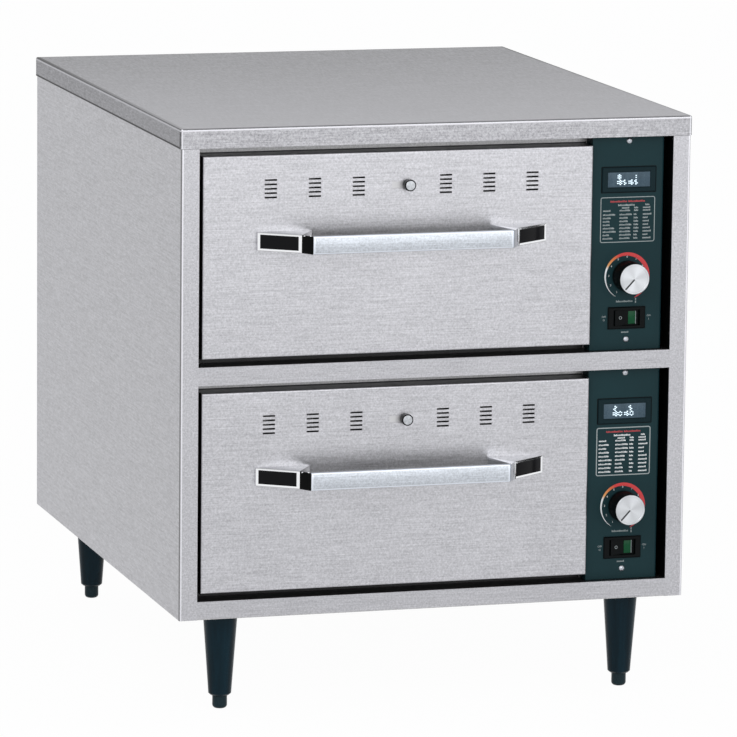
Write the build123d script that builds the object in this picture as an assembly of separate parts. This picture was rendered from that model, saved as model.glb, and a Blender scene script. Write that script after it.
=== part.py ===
"""Countertop warming drawer: a two-drawer insulated cabinet on four levelling legs.

Millimetres. X is to the right, the front faces -Y, +Z is up and the floor is z = 0.
The origin is the centre of the bounding box, at the bottom.
"""
import os
from math import atan2, degrees

from build123d import *

# ---- Driving dimensions ------------------------------------------------------------
# Cabinet shell
lid_width = 588.0
lid_depth = 686.0
lid_flange_height = 22.1
lid_overhang = 1.5
sheet = 1.2
bend_radius = 2.0
seam_gap = 0.3
opening_height = 241.0
middle_rail_height = 20.4
bottom_rail_height = 20.5
bottom_rail_lift = 1.0
post_width = 20.0
fixing_flange = 15.0
wall_flange = 10.0
base_upturn = 12.0

# Legs and levelling feet
leg_height = 110.0
leg_inset_x = 59.5
leg_inset_y = 43.0
leg_top_diameter = 39.0
leg_end_diameter = 25.3
leg_taper_length = 94.7
leg_end_chamfer = 2.0
foot_diameter = 16.5
foot_edge_radius = 4.0
foot_travel = 20.0
stem_diameter = 10.0
stem_engagement = 20.0
stem_clearance = 0.3

# Warming cavity
liner_sheet = 1.0
cavity_inset = 22.0
mouth_overlap = 8.0
back_insulation = 45.0

# Drawer front
front_gap_top = 8.9
front_gap_bottom = 7.9
front_thickness = 25.0
front_recess = 2.5
front_gap_left = 4.3
fittings_shift = 3.0
gasket_thickness = 2.5
gasket_width = 12.0
gasket_margin = 4.0
closing_gap = 0.3

# Vents in the drawer front
vent_columns_per_side = 3
vent_pitch_x = 50.0
vent_rows = 5
vent_pitch_z = 4.8
vent_slot_width = 14.0
vent_slot_height = 2.0
vent_drop = 37.4
vent_knob_diameter = 13.0
vent_knob_length = 8.0
vent_knob_lift = 0.5
vent_stem_diameter = 6.0
vent_travel = 14.0
lever_slot_end_gap = 2.0
lever_slot_height = 8.0
slider_height = 34.0
slider_thickness = 1.0
slider_margin = 12.0
guide_lip = 3.0
guide_width = 2.0
running_gap = 0.3

# Handle
handle_length = 331.5
handle_height = 20.0
handle_standoff = 47.0
handle_drop = 94.4
bar_thickness = 6.0
bar_edge_radius = 1.5
cap_end_thickness = 4.5
cap_length = 51.0
cap_face_reach = 42.0
cap_shoulder_depth = 33.5
cap_nose_radius = 9.0
cap_wall = 12.0
inset_length = 43.4
inset_height = 15.0
inset_depth = 1.2
inset_shift = 1.0

# Pan and its carrier
pan_flange_width = 324.0
pan_flange_length = 527.0
pan_head_room = 20.0
pan_rim = 9.5
pan_draft = 9.0
pan_sheet = 1.0
pan_corner_radius = 26.0
pan_flange_corner = 18.0
pan_bottom_radius = 12.0
pan_floor_gap = 27.0
pan_side_clearance = 10.0
pan_end_clearance = 5.0
frame_sheet = 1.5
frame_lip_height = 8.0
frame_skirt = 96.0
ledge_overlap = 7.0

# Telescopic slides
slide_thickness = 13.0
slide_height = 45.0
slide_centre_height = 112.0
slide_sheet = 1.2
slide_setback = 1.0
slide_end_gap = 56.0
slide_spare = 10.0

# Heating element
element_diameter = 8.0
element_height = 12.0
element_runs = 6
element_pitch = 62.0
element_margin = 45.0
element_bend = 25.0
element_foot = 10.0
element_first_run = 130.0

# Control panel and what it carries
panel_depth = 10.0
panel_width = 84.5
panel_gap = 1.6
panel_gap_right = 7.0
panel_side_flange = 32.0
panel_tab = 15.0
panel_bend_radius = 3.0
control_offset_x = 0.7
display_drop = 49.0
bezel_width = 63.0
bezel_height = 28.0
bezel_lift = 1.5
window_width = 50.0
window_height = 19.0
window_depth = 0.8
module_width = 57.0
module_height = 23.0
module_depth = 22.0
module_clearance = 0.3
dial_spacing = 47.3
knob_diameter = 35.0
knob_height = 26.0
knob_lift = 1.0
knob_edge_radius = 1.0
shaft_diameter = 6.0
shaft_clearance = 0.05
shaft_depth = 20.0
controller_width = 52.0
controller_height = 56.0
controller_depth = 40.0
bushing_diameter = 10.0
switch_rise = 36.2
switch_width = 44.0
switch_height = 25.0
switch_lift = 2.0
switch_rim_width = 31.0
switch_rim_height = 18.0
switch_cavity_depth = 12.0
switch_body_width = 38.0
switch_body_depth = 24.0
rocker_pivot_depth = 3.0
rocker_crown = 3.8
rocker_hollow = 2.2
rocker_heel = 5.0
rocker_heel_width = 12.0
rocker_tilt = 9.0
rocker_clearance = 0.3
rocker_end_gap = 0.7
rocker_pin_diameter = 3.0
rocker_pin_length = 1.5

# Screws
screw_diameter = 4.0
screw_head_diameter = 7.0
screw_head_height = 2.2
screw_length = 8.0
screw_clearance = 0.2
panel_screw_inset_top = 5.5
panel_screw_inset_bottom = 11.8
back_screw_count = 4
back_screw_margin = 40.0

# Cord gland and terminal block
gland_inset_x = 67.5
gland_z = 60.0
gland_reach = 18.0
gland_flange_diameter = 30.0
gland_flange_thickness = 6.0
gland_nose_diameter = 22.0
gland_thread_diameter = 20.0
gland_thread_length = 14.0
gland_nut_width = 26.0
gland_nut_thickness = 5.0
gland_bore_diameter = 10.0
gland_clearance = 0.2
terminal_size = (50.0, 60.0, 28.0)
terminal_setback = 50.0

# ---- Worked-out places -------------------------------------------------------------
body_width = lid_width - 2 * lid_overhang
body_depth = lid_depth - lid_overhang
bar_reach = handle_standoff - front_recess
overall_depth = bar_reach + body_depth + gland_reach
face_y = bar_reach - overall_depth / 2

side_x = body_width / 2
opening_x = side_x - post_width
lid_x = lid_width / 2
base_z = leg_height
lower_opening_z = base_z + bottom_rail_height
upper_opening_z = lower_opening_z + opening_height + middle_rail_height
opening_top_z = upper_opening_z + opening_height
lid_top_z = opening_top_z + lid_flange_height
lid_under_z = lid_top_z - sheet
openings = {"lower": lower_opening_z, "upper": upper_opening_z}

front_x0 = -opening_x + front_gap_left
front_x1 = opening_x - panel_gap_right - panel_width - panel_gap
drawer_x = (front_x0 + front_x1) / 2
fittings_x = drawer_x + fittings_shift
front_back = front_recess + front_thickness
mouth_depth = front_back + gasket_thickness + closing_gap

frame_half = pan_flange_width / 2 + pan_side_clearance + frame_sheet
cavity_half = frame_half + slide_thickness
cavity_x0 = drawer_x - cavity_half
cavity_x1 = drawer_x + cavity_half
cavity_back = body_depth - sheet - back_insulation - liner_sheet
cavity_height = opening_height - 2 * cavity_inset
pan_depth = cavity_height - pan_floor_gap - pan_head_room
frame_length = pan_flange_length + 2 * pan_end_clearance + 2 * frame_sheet
pan_y0 = front_back + frame_sheet + pan_end_clearance
flange_lift = pan_floor_gap + pan_depth

panel_x0 = front_x1 + panel_gap
panel_x1 = panel_x0 + panel_width
control_x = (panel_x0 + panel_x1) / 2 + control_offset_x
wall_x = panel_x0
switch_drop = opening_height - switch_rise
dial_drop = switch_drop - dial_spacing
gland_x = side_x - gland_inset_x
bar_length = handle_length - 2 * cap_length
cap_shoulder_x = handle_length / 2 - cap_face_reach
slide_y0 = mouth_depth + slide_setback
slide_length = cavity_back - slide_y0 - slide_end_gap
drawer_travel = slide_length - slide_spare
stem_length = foot_travel + stem_engagement
vent_offsets = [(i + 1) * vent_pitch_x for i in range(vent_columns_per_side)]
vent_columns_x = [fittings_x + side * offset for side in (-1, 1) for offset in vent_offsets]
vent_open_x = fittings_x + vent_travel / 2
legs_xy = {
    "front_left": (-lid_x + leg_inset_x, leg_inset_y),
    "front_right": (lid_x - leg_inset_x, leg_inset_y),
    "rear_left": (-lid_x + leg_inset_x, body_depth - leg_inset_y),
    "rear_right": (lid_x - leg_inset_x, body_depth - leg_inset_y),
}
back_screw_x = side_x - sheet - fixing_flange / 2


# ---- Helpers -----------------------------------------------------------------------
# Depths run back from the front face of the cabinet.
def block(x, depth, z):
    """A box between the low and high value along each axis."""
    spans = (x, (face_y + depth[0], face_y + depth[1]), z)
    centre = [(low + high) / 2 for low, high in spans]
    size = [high - low for low, high in spans]
    return Pos(*centre) * Box(*size)


def rod(x, z, radius, depth):
    """A cylinder along Y between two depths."""
    middle = face_y + (depth[0] + depth[1]) / 2
    return Pos(x, middle, z) * Rot(90, 0, 0) * Cylinder(radius, depth[1] - depth[0])


def corner_edges(shape, x, depth):
    """The upright edges of a shape at one corner seen from above."""
    def at_corner(edge):
        centre = edge.center()
        return abs(centre.X - x) < seam_gap and abs(centre.Y - face_y - depth) < seam_gap

    return shape.edges().filter_by(Axis.Z).filter_by(at_corner)


def ring(x, depth, z, border_x, border_z):
    """A rectangular frame, upright and facing the front."""
    hole_x = (x[0] + border_x, x[1] - border_x)
    hole_z = (z[0] + border_z, z[1] - border_z)
    return block(x, depth, z) - block(hole_x, depth, hole_z)


# ---- Cabinet shell -----------------------------------------------------------------
def make_lid():
    """A folded cover whose front flange is flush with the posts."""
    outer = block((-lid_x, lid_x), (0, lid_depth), (opening_top_z, lid_top_z))
    upright = outer.edges().filter_by(Axis.Z)
    around_top = outer.faces().sort_by(Axis.Z)[-1].edges()
    outer = fillet(upright + around_top, bend_radius)
    inside = block((sheet - lid_x, lid_x - sheet), (sheet, lid_depth - sheet), (opening_top_z, lid_under_z))
    end = side_x - sheet - seam_gap
    hem = block((-end, end), (sheet, mouth_depth), (opening_top_z, opening_top_z + sheet))
    return outer - inside + hem


def make_side(sign):
    """A side panel folded into the front post and the rear fixing flange."""
    def span(a, b):
        return tuple(sorted((sign * a, sign * b)))

    post_top = opening_top_z - seam_gap
    panel = block(span(side_x - sheet, side_x), (0, body_depth - sheet), (base_z, lid_under_z))
    panel -= block(span(side_x - sheet, side_x), (0, sheet + seam_gap), (post_top, lid_under_z))
    panel += block(span(opening_x, side_x - sheet), (0, sheet), (base_z, post_top))
    panel += block(span(opening_x, opening_x + sheet), (sheet, mouth_depth), (base_z, post_top))
    flange_depth = (body_depth - 2 * sheet, body_depth - sheet)
    panel += block(span(side_x - sheet - fixing_flange, side_x - sheet), flange_depth, (base_z, lid_under_z))
    panel = fillet(corner_edges(panel, sign * side_x, 0), sheet * 0.95)
    return panel - back_screw_holes(sign)


def back_screw_places():
    """Heights of the back panel's screws along one side."""
    span = lid_under_z - base_z - 2 * back_screw_margin
    step = span / (back_screw_count - 1)
    return [base_z + back_screw_margin + i * step for i in range(back_screw_count)]


def back_screw_holes(sign):
    """Clearance holes through the back panel and the fixing flange of one side."""
    radius = screw_diameter / 2 + screw_clearance
    depth = (body_depth - 3 * sheet, body_depth + sheet)
    return [rod(sign * back_screw_x, z, radius, depth) for z in back_screw_places()]


def make_back_panel():
    """The flat rear cover, with the cord gland's hole."""
    panel = block((-side_x, side_x), (body_depth - sheet, body_depth), (base_z, lid_under_z))
    panel -= rod(gland_x, base_z + gland_z, gland_thread_diameter / 2 + gland_clearance,
                 (body_depth - 2 * sheet, body_depth + sheet))
    return panel - back_screw_holes(-1) - back_screw_holes(1)


def make_base_pan():
    """The floor sheet, slotted for the posts and turned up along both sides."""
    inner = side_x - sheet
    depth = (sheet, body_depth - 2 * sheet)
    side_depth = (mouth_depth + sheet, body_depth - 2 * sheet)
    pan = block((-inner, inner), depth, (base_z, base_z + sheet))
    for sign in (-1, 1):
        post_x = tuple(sorted((sign * opening_x, sign * (opening_x + sheet))))
        turn_x = tuple(sorted((sign * (inner - sheet), sign * inner)))
        pan -= block(post_x, (sheet, mouth_depth), (base_z, base_z + sheet))
        pan += block(turn_x, side_depth, (base_z, base_z + base_upturn))
    return pan


def make_middle_rail():
    """The channel between the two drawer openings."""
    z = (lower_opening_z + opening_height, upper_opening_z)
    rail = block((-opening_x, opening_x), (0, mouth_depth), z)
    return rail - block((-opening_x, opening_x), (sheet, mouth_depth), (z[0] + sheet, z[1] - sheet))


def make_bottom_rail():
    """The angle under the lower opening, a little short of the posts' ends."""
    front = block((-opening_x, opening_x), (0, sheet), (base_z + bottom_rail_lift, lower_opening_z))
    top = block((-opening_x, opening_x), (sheet, mouth_depth), (lower_opening_z - sheet, lower_opening_z))
    return front + top


def make_compartment_wall():
    """The sheet between the warm side and the controls, with a front flange."""
    depth = (mouth_depth, body_depth - 2 * sheet)
    wall = block((wall_x - sheet, wall_x), depth, (base_z + sheet, lid_under_z))
    flange_depth = (mouth_depth, mouth_depth + sheet)
    return wall + block((wall_x, wall_x + wall_flange), flange_depth, (base_z + sheet, lid_under_z))


def make_insulation():
    """Blankets that fill the space between the shell and the two liners."""
    left = sheet - side_x
    right = wall_x - sheet
    depth = (mouth_depth + liner_sheet, cavity_back + liner_sheet)
    liner_left = cavity_x0 - liner_sheet
    liner_right = cavity_x1 + liner_sheet
    floors = {key: z + cavity_inset - liner_sheet for key, z in openings.items()}
    tops = {key: z + cavity_inset + cavity_height + liner_sheet for key, z in openings.items()}
    rear_depth = (depth[1], body_depth - screw_length - sheet)
    slabs = [
        block((left + sheet, right), depth, (base_z + sheet, floors["lower"])),
        block((left, right), depth, (tops["lower"], floors["upper"])),
        block((left, right), depth, (tops["upper"], lid_under_z)),
        block((left + sheet, right), rear_depth, (base_z + sheet, lid_under_z)),
    ]
    for key in openings:
        slabs.append(block((left + sheet, liner_left), depth, (floors[key], tops[key])))
        slabs.append(block((liner_right, right), depth, (floors[key], tops[key])))
    return slabs


# ---- Legs --------------------------------------------------------------------------
def make_legs():
    """Four tapered legs with a blind bore for the foot's stem."""
    top = leg_top_diameter / 2
    end = leg_end_diameter / 2
    low = base_z - leg_taper_length
    legs = []
    for x, depth in legs_xy.values():
        taper = Solid.make_cone(end, top, leg_taper_length)
        taper = chamfer(taper.edges().sort_by(Axis.Z)[0], leg_end_chamfer)
        bore_length = stem_length + stem_clearance
        bore = Pos(0, 0, bore_length / 2) * Cylinder(stem_diameter / 2 + stem_clearance, bore_length)
        legs.append(Pos(x, face_y + depth, low) * (taper - bore))
    return legs


def make_foot(x, depth):
    """A round foot on a stem, just clear of the leg above it."""
    height = base_z - leg_taper_length - running_gap
    pad = Pos(0, 0, height / 2) * Cylinder(foot_diameter / 2, height)
    pad = fillet(pad.edges().sort_by(Axis.Z)[0], foot_edge_radius)
    reach = running_gap + stem_length
    stem = Pos(0, 0, height + reach / 2) * Cylinder(stem_diameter / 2, reach)
    return Pos(x, face_y + depth, 0) * (pad + stem)


# ---- Warming cavity ----------------------------------------------------------------
def make_liner_wrap(z0):
    """Floor, side walls and mouth plate of one cavity."""
    low = z0 + cavity_inset
    high = low + cavity_height
    depth = (mouth_depth, cavity_back)
    plate_x = (-opening_x - mouth_overlap, wall_x - sheet)
    plate_z = (z0 - mouth_overlap, z0 + opening_height + mouth_overlap)
    outer_x = (cavity_x0 - liner_sheet, cavity_x1 + liner_sheet)
    wrap = block(plate_x, (mouth_depth, mouth_depth + liner_sheet), plate_z)
    wrap += block(outer_x, depth, (low - liner_sheet, high))
    return wrap - block((cavity_x0, cavity_x1), depth, (low, high))


def make_liner_cap(z0):
    """Ceiling and back of one cavity."""
    low = z0 + cavity_inset
    high = low + cavity_height
    outer_x = (cavity_x0 - liner_sheet, cavity_x1 + liner_sheet)
    ceiling_depth = (mouth_depth + liner_sheet, cavity_back + liner_sheet)
    ceiling = block(outer_x, ceiling_depth, (high, high + liner_sheet))
    back = block(outer_x, (cavity_back, cavity_back + liner_sheet), (low - liner_sheet, high))
    return ceiling + back


def make_heating_element(z0):
    """A tube heater under the pan, both ends at the control side's wall."""
    z = z0 + cavity_inset + element_height
    left = cavity_x0 + element_margin
    right = cavity_x1 - element_margin
    ys = [face_y + mouth_depth + element_first_run + i * element_pitch for i in range(element_runs)]
    points = [(cavity_x1, ys[0], z)]
    for i, y in enumerate(ys[:-1]):
        turn_x = left if i % 2 == 0 else right
        points += [(turn_x, y, z), (turn_x, ys[i + 1], z)]
    points.append((cavity_x1, ys[-1], z))
    path = FilletPolyline(*points, radius=element_bend)
    start = Plane(origin=path @ 0, z_dir=path % 0)
    tube = sweep(start * Circle(element_diameter / 2), path=path)
    for y in ys:
        post = Pos(drawer_x, y, z - element_height / 2) * Box(element_foot, element_foot, element_height)
        tube += post
    return tube


# ---- Telescopic slides -------------------------------------------------------------
def slide_channel(z0, inset, web, half_height, side):
    """One channel of a slide. inset runs from the cavity wall towards the drawer."""
    wall = drawer_x + side * cavity_half
    centre_z = z0 + cavity_inset + slide_centre_height
    depth = (slide_y0, slide_y0 + slide_length)

    def span(a, b):
        return tuple(sorted((wall - side * a, wall - side * b)))

    solid = block(span(*inset), depth, (centre_z - half_height, centre_z + half_height))
    inner = half_height - slide_sheet
    open_inset = (web[1], inset[1]) if web[0] == inset[0] else (inset[0], web[0])
    return solid - block(span(*open_inset), depth, (centre_z - inner, centre_z + inner))


def make_slide_fixed(z0):
    """Outer members, screwed to the cavity's walls."""
    reach = slide_thickness - slide_sheet - 2 * running_gap
    return [slide_channel(z0, (0, reach), (0, slide_sheet), slide_height / 2, side) for side in (-1, 1)]


def make_slide_middle(z0):
    """Middle members, which run half as far as the drawer."""
    start = slide_sheet + running_gap
    reach = slide_thickness - slide_sheet - running_gap
    half = slide_height / 2 - slide_sheet - running_gap
    return [slide_channel(z0, (start, reach), (start, start + slide_sheet), half, side) for side in (-1, 1)]


def make_slide_inner(z0):
    """Inner members, fixed to the drawer's carrier."""
    start = 2 * (slide_sheet + running_gap)
    half = slide_height / 2 - 2 * (slide_sheet + running_gap)
    web = (slide_thickness - slide_sheet, slide_thickness)
    return [slide_channel(z0, (start, slide_thickness), web, half, side) for side in (-1, 1)]


# ---- Drawer ------------------------------------------------------------------------
def front_z(z0):
    """Bottom and top of a drawer front."""
    return z0 + front_gap_bottom, z0 + opening_height - front_gap_top


def vent_slots(z0, depth):
    """The pattern of vent slots, as cutters between two depths."""
    centre_z = front_z(z0)[1] - vent_drop
    slots = []
    for x in vent_columns_x:
        for row in range(vent_rows):
            z = centre_z + (row - (vent_rows - 1) / 2) * vent_pitch_z
            half_x = vent_slot_width / 2
            half_z = vent_slot_height / 2
            slots.append(block((x - half_x, x + half_x), depth, (z - half_z, z + half_z)))
    return slots


def make_front_skin(z0):
    """The outer box of the drawer front, with vent slots and the slider's guides."""
    low, high = front_z(z0)
    skin = block((front_x0, front_x1), (front_recess, front_back), (low, high))
    skin = fillet(skin.faces().sort_by(Axis.Y)[0].edges(), bend_radius)
    hollow_depth = (front_recess + sheet, front_back)
    skin -= block((front_x0 + sheet, front_x1 - sheet), hollow_depth, (low + sheet, high - sheet))
    cut_depth = (front_recess - sheet, front_recess + 2 * sheet)
    skin -= vent_slots(z0, cut_depth)
    centre_z = high - vent_drop
    lever_half = vent_travel / 2 + vent_stem_diameter / 2 + lever_slot_end_gap
    skin -= block((fittings_x - lever_half, fittings_x + lever_half), cut_depth,
                  (centre_z - lever_slot_height / 2, centre_z + lever_slot_height / 2))
    return skin + slider_guide(centre_z, 1) + slider_guide(centre_z, -1)


def slider_half_width():
    """Half the width of the vent slider."""
    return vent_columns_per_side * vent_pitch_x + vent_slot_width / 2 + slider_margin


def slider_guide(centre_z, sign):
    """A lipped strip that holds one long edge of the vent slider."""
    half_x = slider_half_width() + vent_travel
    inner_face = front_recess + sheet
    lip_start = inner_face + slider_thickness + 2 * running_gap
    edge = slider_height / 2 + running_gap

    def span(a, b):
        return tuple(sorted((centre_z + sign * a, centre_z + sign * b)))

    across = (fittings_x - half_x, fittings_x + half_x)
    strip = block(across, (inner_face, lip_start + sheet), span(edge, edge + guide_width))
    return strip + block(across, (lip_start, lip_start + sheet), span(edge - guide_lip, edge))


def make_front_backing(z0):
    """The inner sheet that closes the drawer front, with vent windows."""
    low, high = front_z(z0)
    x = (front_x0 + sheet, front_x1 - sheet)
    z = (low + sheet, high - sheet)
    tray_depth = (front_recess + front_thickness / 2, front_back)
    backing = block(x, tray_depth, z)
    hollow_x = (x[0] + sheet, x[1] - sheet)
    backing -= block(hollow_x, (tray_depth[0], front_back - sheet), (z[0] + sheet, z[1] - sheet))
    centre_z = high - vent_drop
    half_z = vent_rows * vent_pitch_z / 2
    for window_x in vent_columns_x:
        half_x = vent_slot_width / 2
        backing -= block((window_x - half_x, window_x + half_x), (front_back - 2 * sheet, front_back + sheet),
                         (centre_z - half_z, centre_z + half_z))
    return backing


def make_gasket(z0):
    """The seal round the back of the drawer front."""
    low, high = front_z(z0)
    x = (front_x0 + gasket_margin, front_x1 - gasket_margin)
    z = (low + sheet, high - sheet)
    border_z = cavity_inset - front_gap_top - sheet - running_gap
    return ring(x, (front_back, front_back + gasket_thickness), z, gasket_width, border_z)


def make_vent_slider(z0):
    """The sliding plate behind the vent slots."""
    centre_z = front_z(z0)[1] - vent_drop
    start = front_recess + sheet + running_gap
    half_x = slider_half_width()
    half_z = slider_height / 2
    slider = block((fittings_x - half_x, fittings_x + half_x), (start, start + slider_thickness),
                   (centre_z - half_z, centre_z + half_z))
    return slider - vent_slots(z0, (start - sheet, start + 2 * sheet))


def make_vent_knob(z0):
    """The round knob that moves the vent slider."""
    z = front_z(z0)[1] - vent_drop
    back = front_recess - vent_knob_lift
    head = rod(vent_open_x, z, vent_knob_diameter / 2, (back - vent_knob_length, back))
    head = fillet(head.faces().sort_by(Axis.Y)[0].edges(), vent_knob_lift)
    return head + rod(vent_open_x, z, vent_stem_diameter / 2, (back, front_recess + sheet + running_gap))


def handle_z(z0):
    """Bottom and top of a handle."""
    centre = front_z(z0)[1] - handle_drop
    return centre - handle_height / 2, centre + handle_height / 2


def make_handle_bar(z0):
    """The flat bar between the handle's end caps."""
    near = front_recess - handle_standoff
    half = bar_length / 2
    bar = block((fittings_x - half, fittings_x + half), (near, near + bar_thickness), handle_z(z0))
    return fillet(bar.edges().filter_by(Axis.X), bar_edge_radius)


def make_handle_ends(z0):
    """Two wedge-shaped end caps with a shallow recess on each slanted face."""
    low, high = handle_z(z0)
    base_y = face_y + front_recess
    half = handle_length / 2
    bar_end = bar_length / 2
    front_y = base_y - handle_standoff
    shoulder_y = base_y - cap_shoulder_depth
    ends = []
    for side in (-1, 1):
        def at(x, y):
            return fittings_x + side * x, y

        outline = Polyline(
            at(half, base_y), at(half, base_y - cap_end_thickness), at(cap_shoulder_x, shoulder_y),
            at(bar_end, front_y), at(bar_end, front_y + bar_thickness), at(bar_end - cap_wall, base_y),
            close=True)
        cap = extrude(Plane.XY.offset(low) * make_face(outline), handle_height)
        nose = cap.edges().filter_by(Axis.Z).filter_by(
            lambda e: abs(e.center().X - at(cap_shoulder_x, 0)[0]) < seam_gap)
        cap = fillet(nose, cap_nose_radius)
        run = half - cap_shoulder_x
        rise = cap_shoulder_depth - cap_end_thickness
        slope = degrees(atan2(rise, run))
        middle = at((half + cap_shoulder_x) / 2 + inset_shift * run / rise, 0)[0]
        middle_y = base_y - (cap_end_thickness + cap_shoulder_depth) / 2 + inset_shift
        recess = Rot(0, 0, side * slope) * Box(inset_length, 2 * inset_depth, inset_height)
        ends.append(cap - Pos(middle, middle_y, (low + high) / 2) * recess)
    return ends


def make_drawer_frame(z0):
    """The sheet carrier behind the front: an upright ring with a ledge for the pan."""
    ledge_top = z0 + cavity_inset + flange_lift - pan_sheet
    top = ledge_top + pan_sheet + frame_lip_height
    x = (drawer_x - frame_half, drawer_x + frame_half)
    depth = (front_back, front_back + frame_length)
    inner_x = (x[0] + frame_sheet, x[1] - frame_sheet)
    inner_depth = (depth[0] + frame_sheet, depth[1] - frame_sheet)
    ledge = pan_side_clearance + ledge_overlap
    end_ledge = pan_end_clearance + ledge_overlap
    frame = block(x, depth, (ledge_top - frame_skirt, top))
    frame -= block(inner_x, inner_depth, (ledge_top, top))
    frame -= block(inner_x, inner_depth, (ledge_top - frame_skirt, ledge_top - frame_sheet))
    well_x = (inner_x[0] + ledge, inner_x[1] - ledge)
    well_depth = (inner_depth[0] + end_ledge, inner_depth[1] - end_ledge)
    return frame - block(well_x, well_depth, (ledge_top - frame_sheet, ledge_top))


def tapered_body(width, length, height, draft, corner, bottom_radius):
    """A rounded tub shape, narrower at the bottom, with its top at z = 0."""
    top = RectangleRounded(width, length, corner)
    bottom = Pos(0, 0, -height) * RectangleRounded(width - 2 * draft, length - 2 * draft, corner)
    tub = loft([bottom, top])
    return fillet(tub.faces().sort_by(Axis.Z)[0].edges(), bottom_radius)


def make_pan(z0):
    """A deep food pan that hangs by its flange in the carrier."""
    width = pan_flange_width - 2 * pan_rim
    length = pan_flange_length - 2 * pan_rim
    flange = extrude(RectangleRounded(pan_flange_width, pan_flange_length, pan_flange_corner), -pan_sheet)
    outer = tapered_body(width, length, pan_depth, pan_draft, pan_corner_radius, pan_bottom_radius)
    inner = tapered_body(width - 2 * pan_sheet, length - 2 * pan_sheet, pan_depth - pan_sheet, pan_draft,
                         pan_corner_radius - pan_sheet, pan_bottom_radius - pan_sheet)
    centre_y = face_y + pan_y0 + pan_flange_length / 2
    return Pos(drawer_x, centre_y, z0 + cavity_inset + flange_lift) * (flange + outer - inner)


# ---- Controls ----------------------------------------------------------------------
def control_z(z0, drop):
    """Height of a control from its drop below the top of the opening."""
    return z0 + opening_height - drop


def panel_screw_places(z0):
    """Heights of a control panel's two screws."""
    return z0 + panel_screw_inset_bottom, z0 + opening_height - panel_screw_inset_top


def make_control_panel(z0):
    """The folded panel beside a drawer, cut for its display, dial, switch and screws."""
    low = z0 + seam_gap
    high = z0 + opening_height - seam_gap
    flange_back = panel_depth + panel_side_flange
    panel = block((panel_x0, panel_x1), (panel_depth, flange_back), (low, high))
    panel = fillet(corner_edges(panel, panel_x1, panel_depth), panel_bend_radius)
    inner_x = (panel_x0 + sheet, panel_x1 - sheet)
    panel -= block(inner_x, (panel_depth + sheet, flange_back), (low + sheet, high - sheet))
    panel -= block((panel_x0, panel_x1), (panel_depth + panel_tab, flange_back), (low, low + sheet))
    panel -= block((panel_x0, panel_x1), (panel_depth + panel_tab, flange_back), (high - sheet, high))
    panel -= block((panel_x0, panel_x0 + sheet), (mouth_depth, flange_back), (low, high))
    through = (panel_depth - sheet, panel_depth + 2 * sheet)
    panel -= rectangle_cut(display_drop, module_width, module_height, z0, through)
    panel -= rectangle_cut(switch_drop, switch_body_width, switch_rim_height + 2 * sheet, z0, through)
    panel -= rod(control_x, control_z(z0, dial_drop), bushing_diameter / 2 + module_clearance, through)
    for z in panel_screw_places(z0):
        panel -= rod(control_x, z, screw_diameter / 2 + screw_clearance, through)
    return panel


def rectangle_cut(drop, width, height, z0, depth):
    """A cutter for a snap-in module, with its clearance all round."""
    z = control_z(z0, drop)
    half_x = width / 2 + module_clearance
    half_z = height / 2 + module_clearance
    return block((control_x - half_x, control_x + half_x), depth, (z - half_z, z + half_z))


def module_block(drop, width, height, z0, depth):
    """A block centred on the control axis."""
    z = control_z(z0, drop)
    return block((control_x - width / 2, control_x + width / 2), depth, (z - height / 2, z + height / 2))


def make_display(z0):
    """A snap-in temperature display with a framed window."""
    front = panel_depth - bezel_lift
    bezel = module_block(display_drop, bezel_width, bezel_height, z0, (front, panel_depth))
    bezel = chamfer(bezel.faces().sort_by(Axis.Y)[0].edges(), bezel_lift / 2)
    window = module_block(display_drop, window_width, window_height, z0, (front, front + window_depth))
    module_reach = (panel_depth, panel_depth + module_depth)
    return bezel - window + module_block(display_drop, module_width, module_height, z0, module_reach)


def make_controller(z0):
    """The thermostat behind the panel, with the bushing that its shaft turns in."""
    start = panel_depth + sheet
    box = module_block(dial_drop, controller_width, controller_height, z0, (start, start + controller_depth))
    z = control_z(z0, dial_drop)
    box += rod(control_x, z, bushing_diameter / 2, (panel_depth, start))
    reach = (panel_depth - sheet, panel_depth + shaft_depth)
    return box - rod(control_x, z, shaft_diameter / 2 + shaft_clearance, reach)


def make_knob(z0):
    """A round dial knob with its shaft."""
    z = control_z(z0, dial_drop)
    back = panel_depth - knob_lift
    front = back - knob_height
    knob = rod(control_x, z, knob_diameter / 2, (front, back))
    knob = chamfer(knob.faces().sort_by(Axis.Y)[0].edges(), knob_edge_radius / 2)
    return knob + rod(control_x, z, shaft_diameter / 2, (back, panel_depth + shaft_depth))


def make_switch_body(z0):
    """The snap-in switch housing, open at the front for the rocker."""
    front = panel_depth - switch_lift
    rim = module_block(switch_drop, switch_width, switch_height, z0, (front, panel_depth))
    rim = chamfer(rim.faces().sort_by(Axis.Y)[0].edges(), switch_lift / 2)
    body_height = switch_rim_height + 2 * sheet
    body_reach = (panel_depth, panel_depth + switch_body_depth)
    body = module_block(switch_drop, switch_body_width, body_height, z0, body_reach)
    cavity_depth = (front, panel_depth + switch_cavity_depth)
    housing = rim + body - module_block(switch_drop, switch_rim_width, switch_rim_height, z0, cavity_depth)
    pin_radius = rocker_pin_diameter / 2 + shaft_clearance
    return housing - rocker_pin(z0, pin_radius, rocker_pin_length + rocker_clearance)


def rocker_pin(z0, radius, reach):
    """The rocker's upright pivot pin, reaching past the rocker at both ends."""
    length = switch_rim_height + 2 * (reach - rocker_clearance)
    pivot_y = face_y + panel_depth + rocker_pivot_depth
    return Pos(control_x, pivot_y, control_z(z0, switch_drop)) * Cylinder(radius, length)


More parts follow.
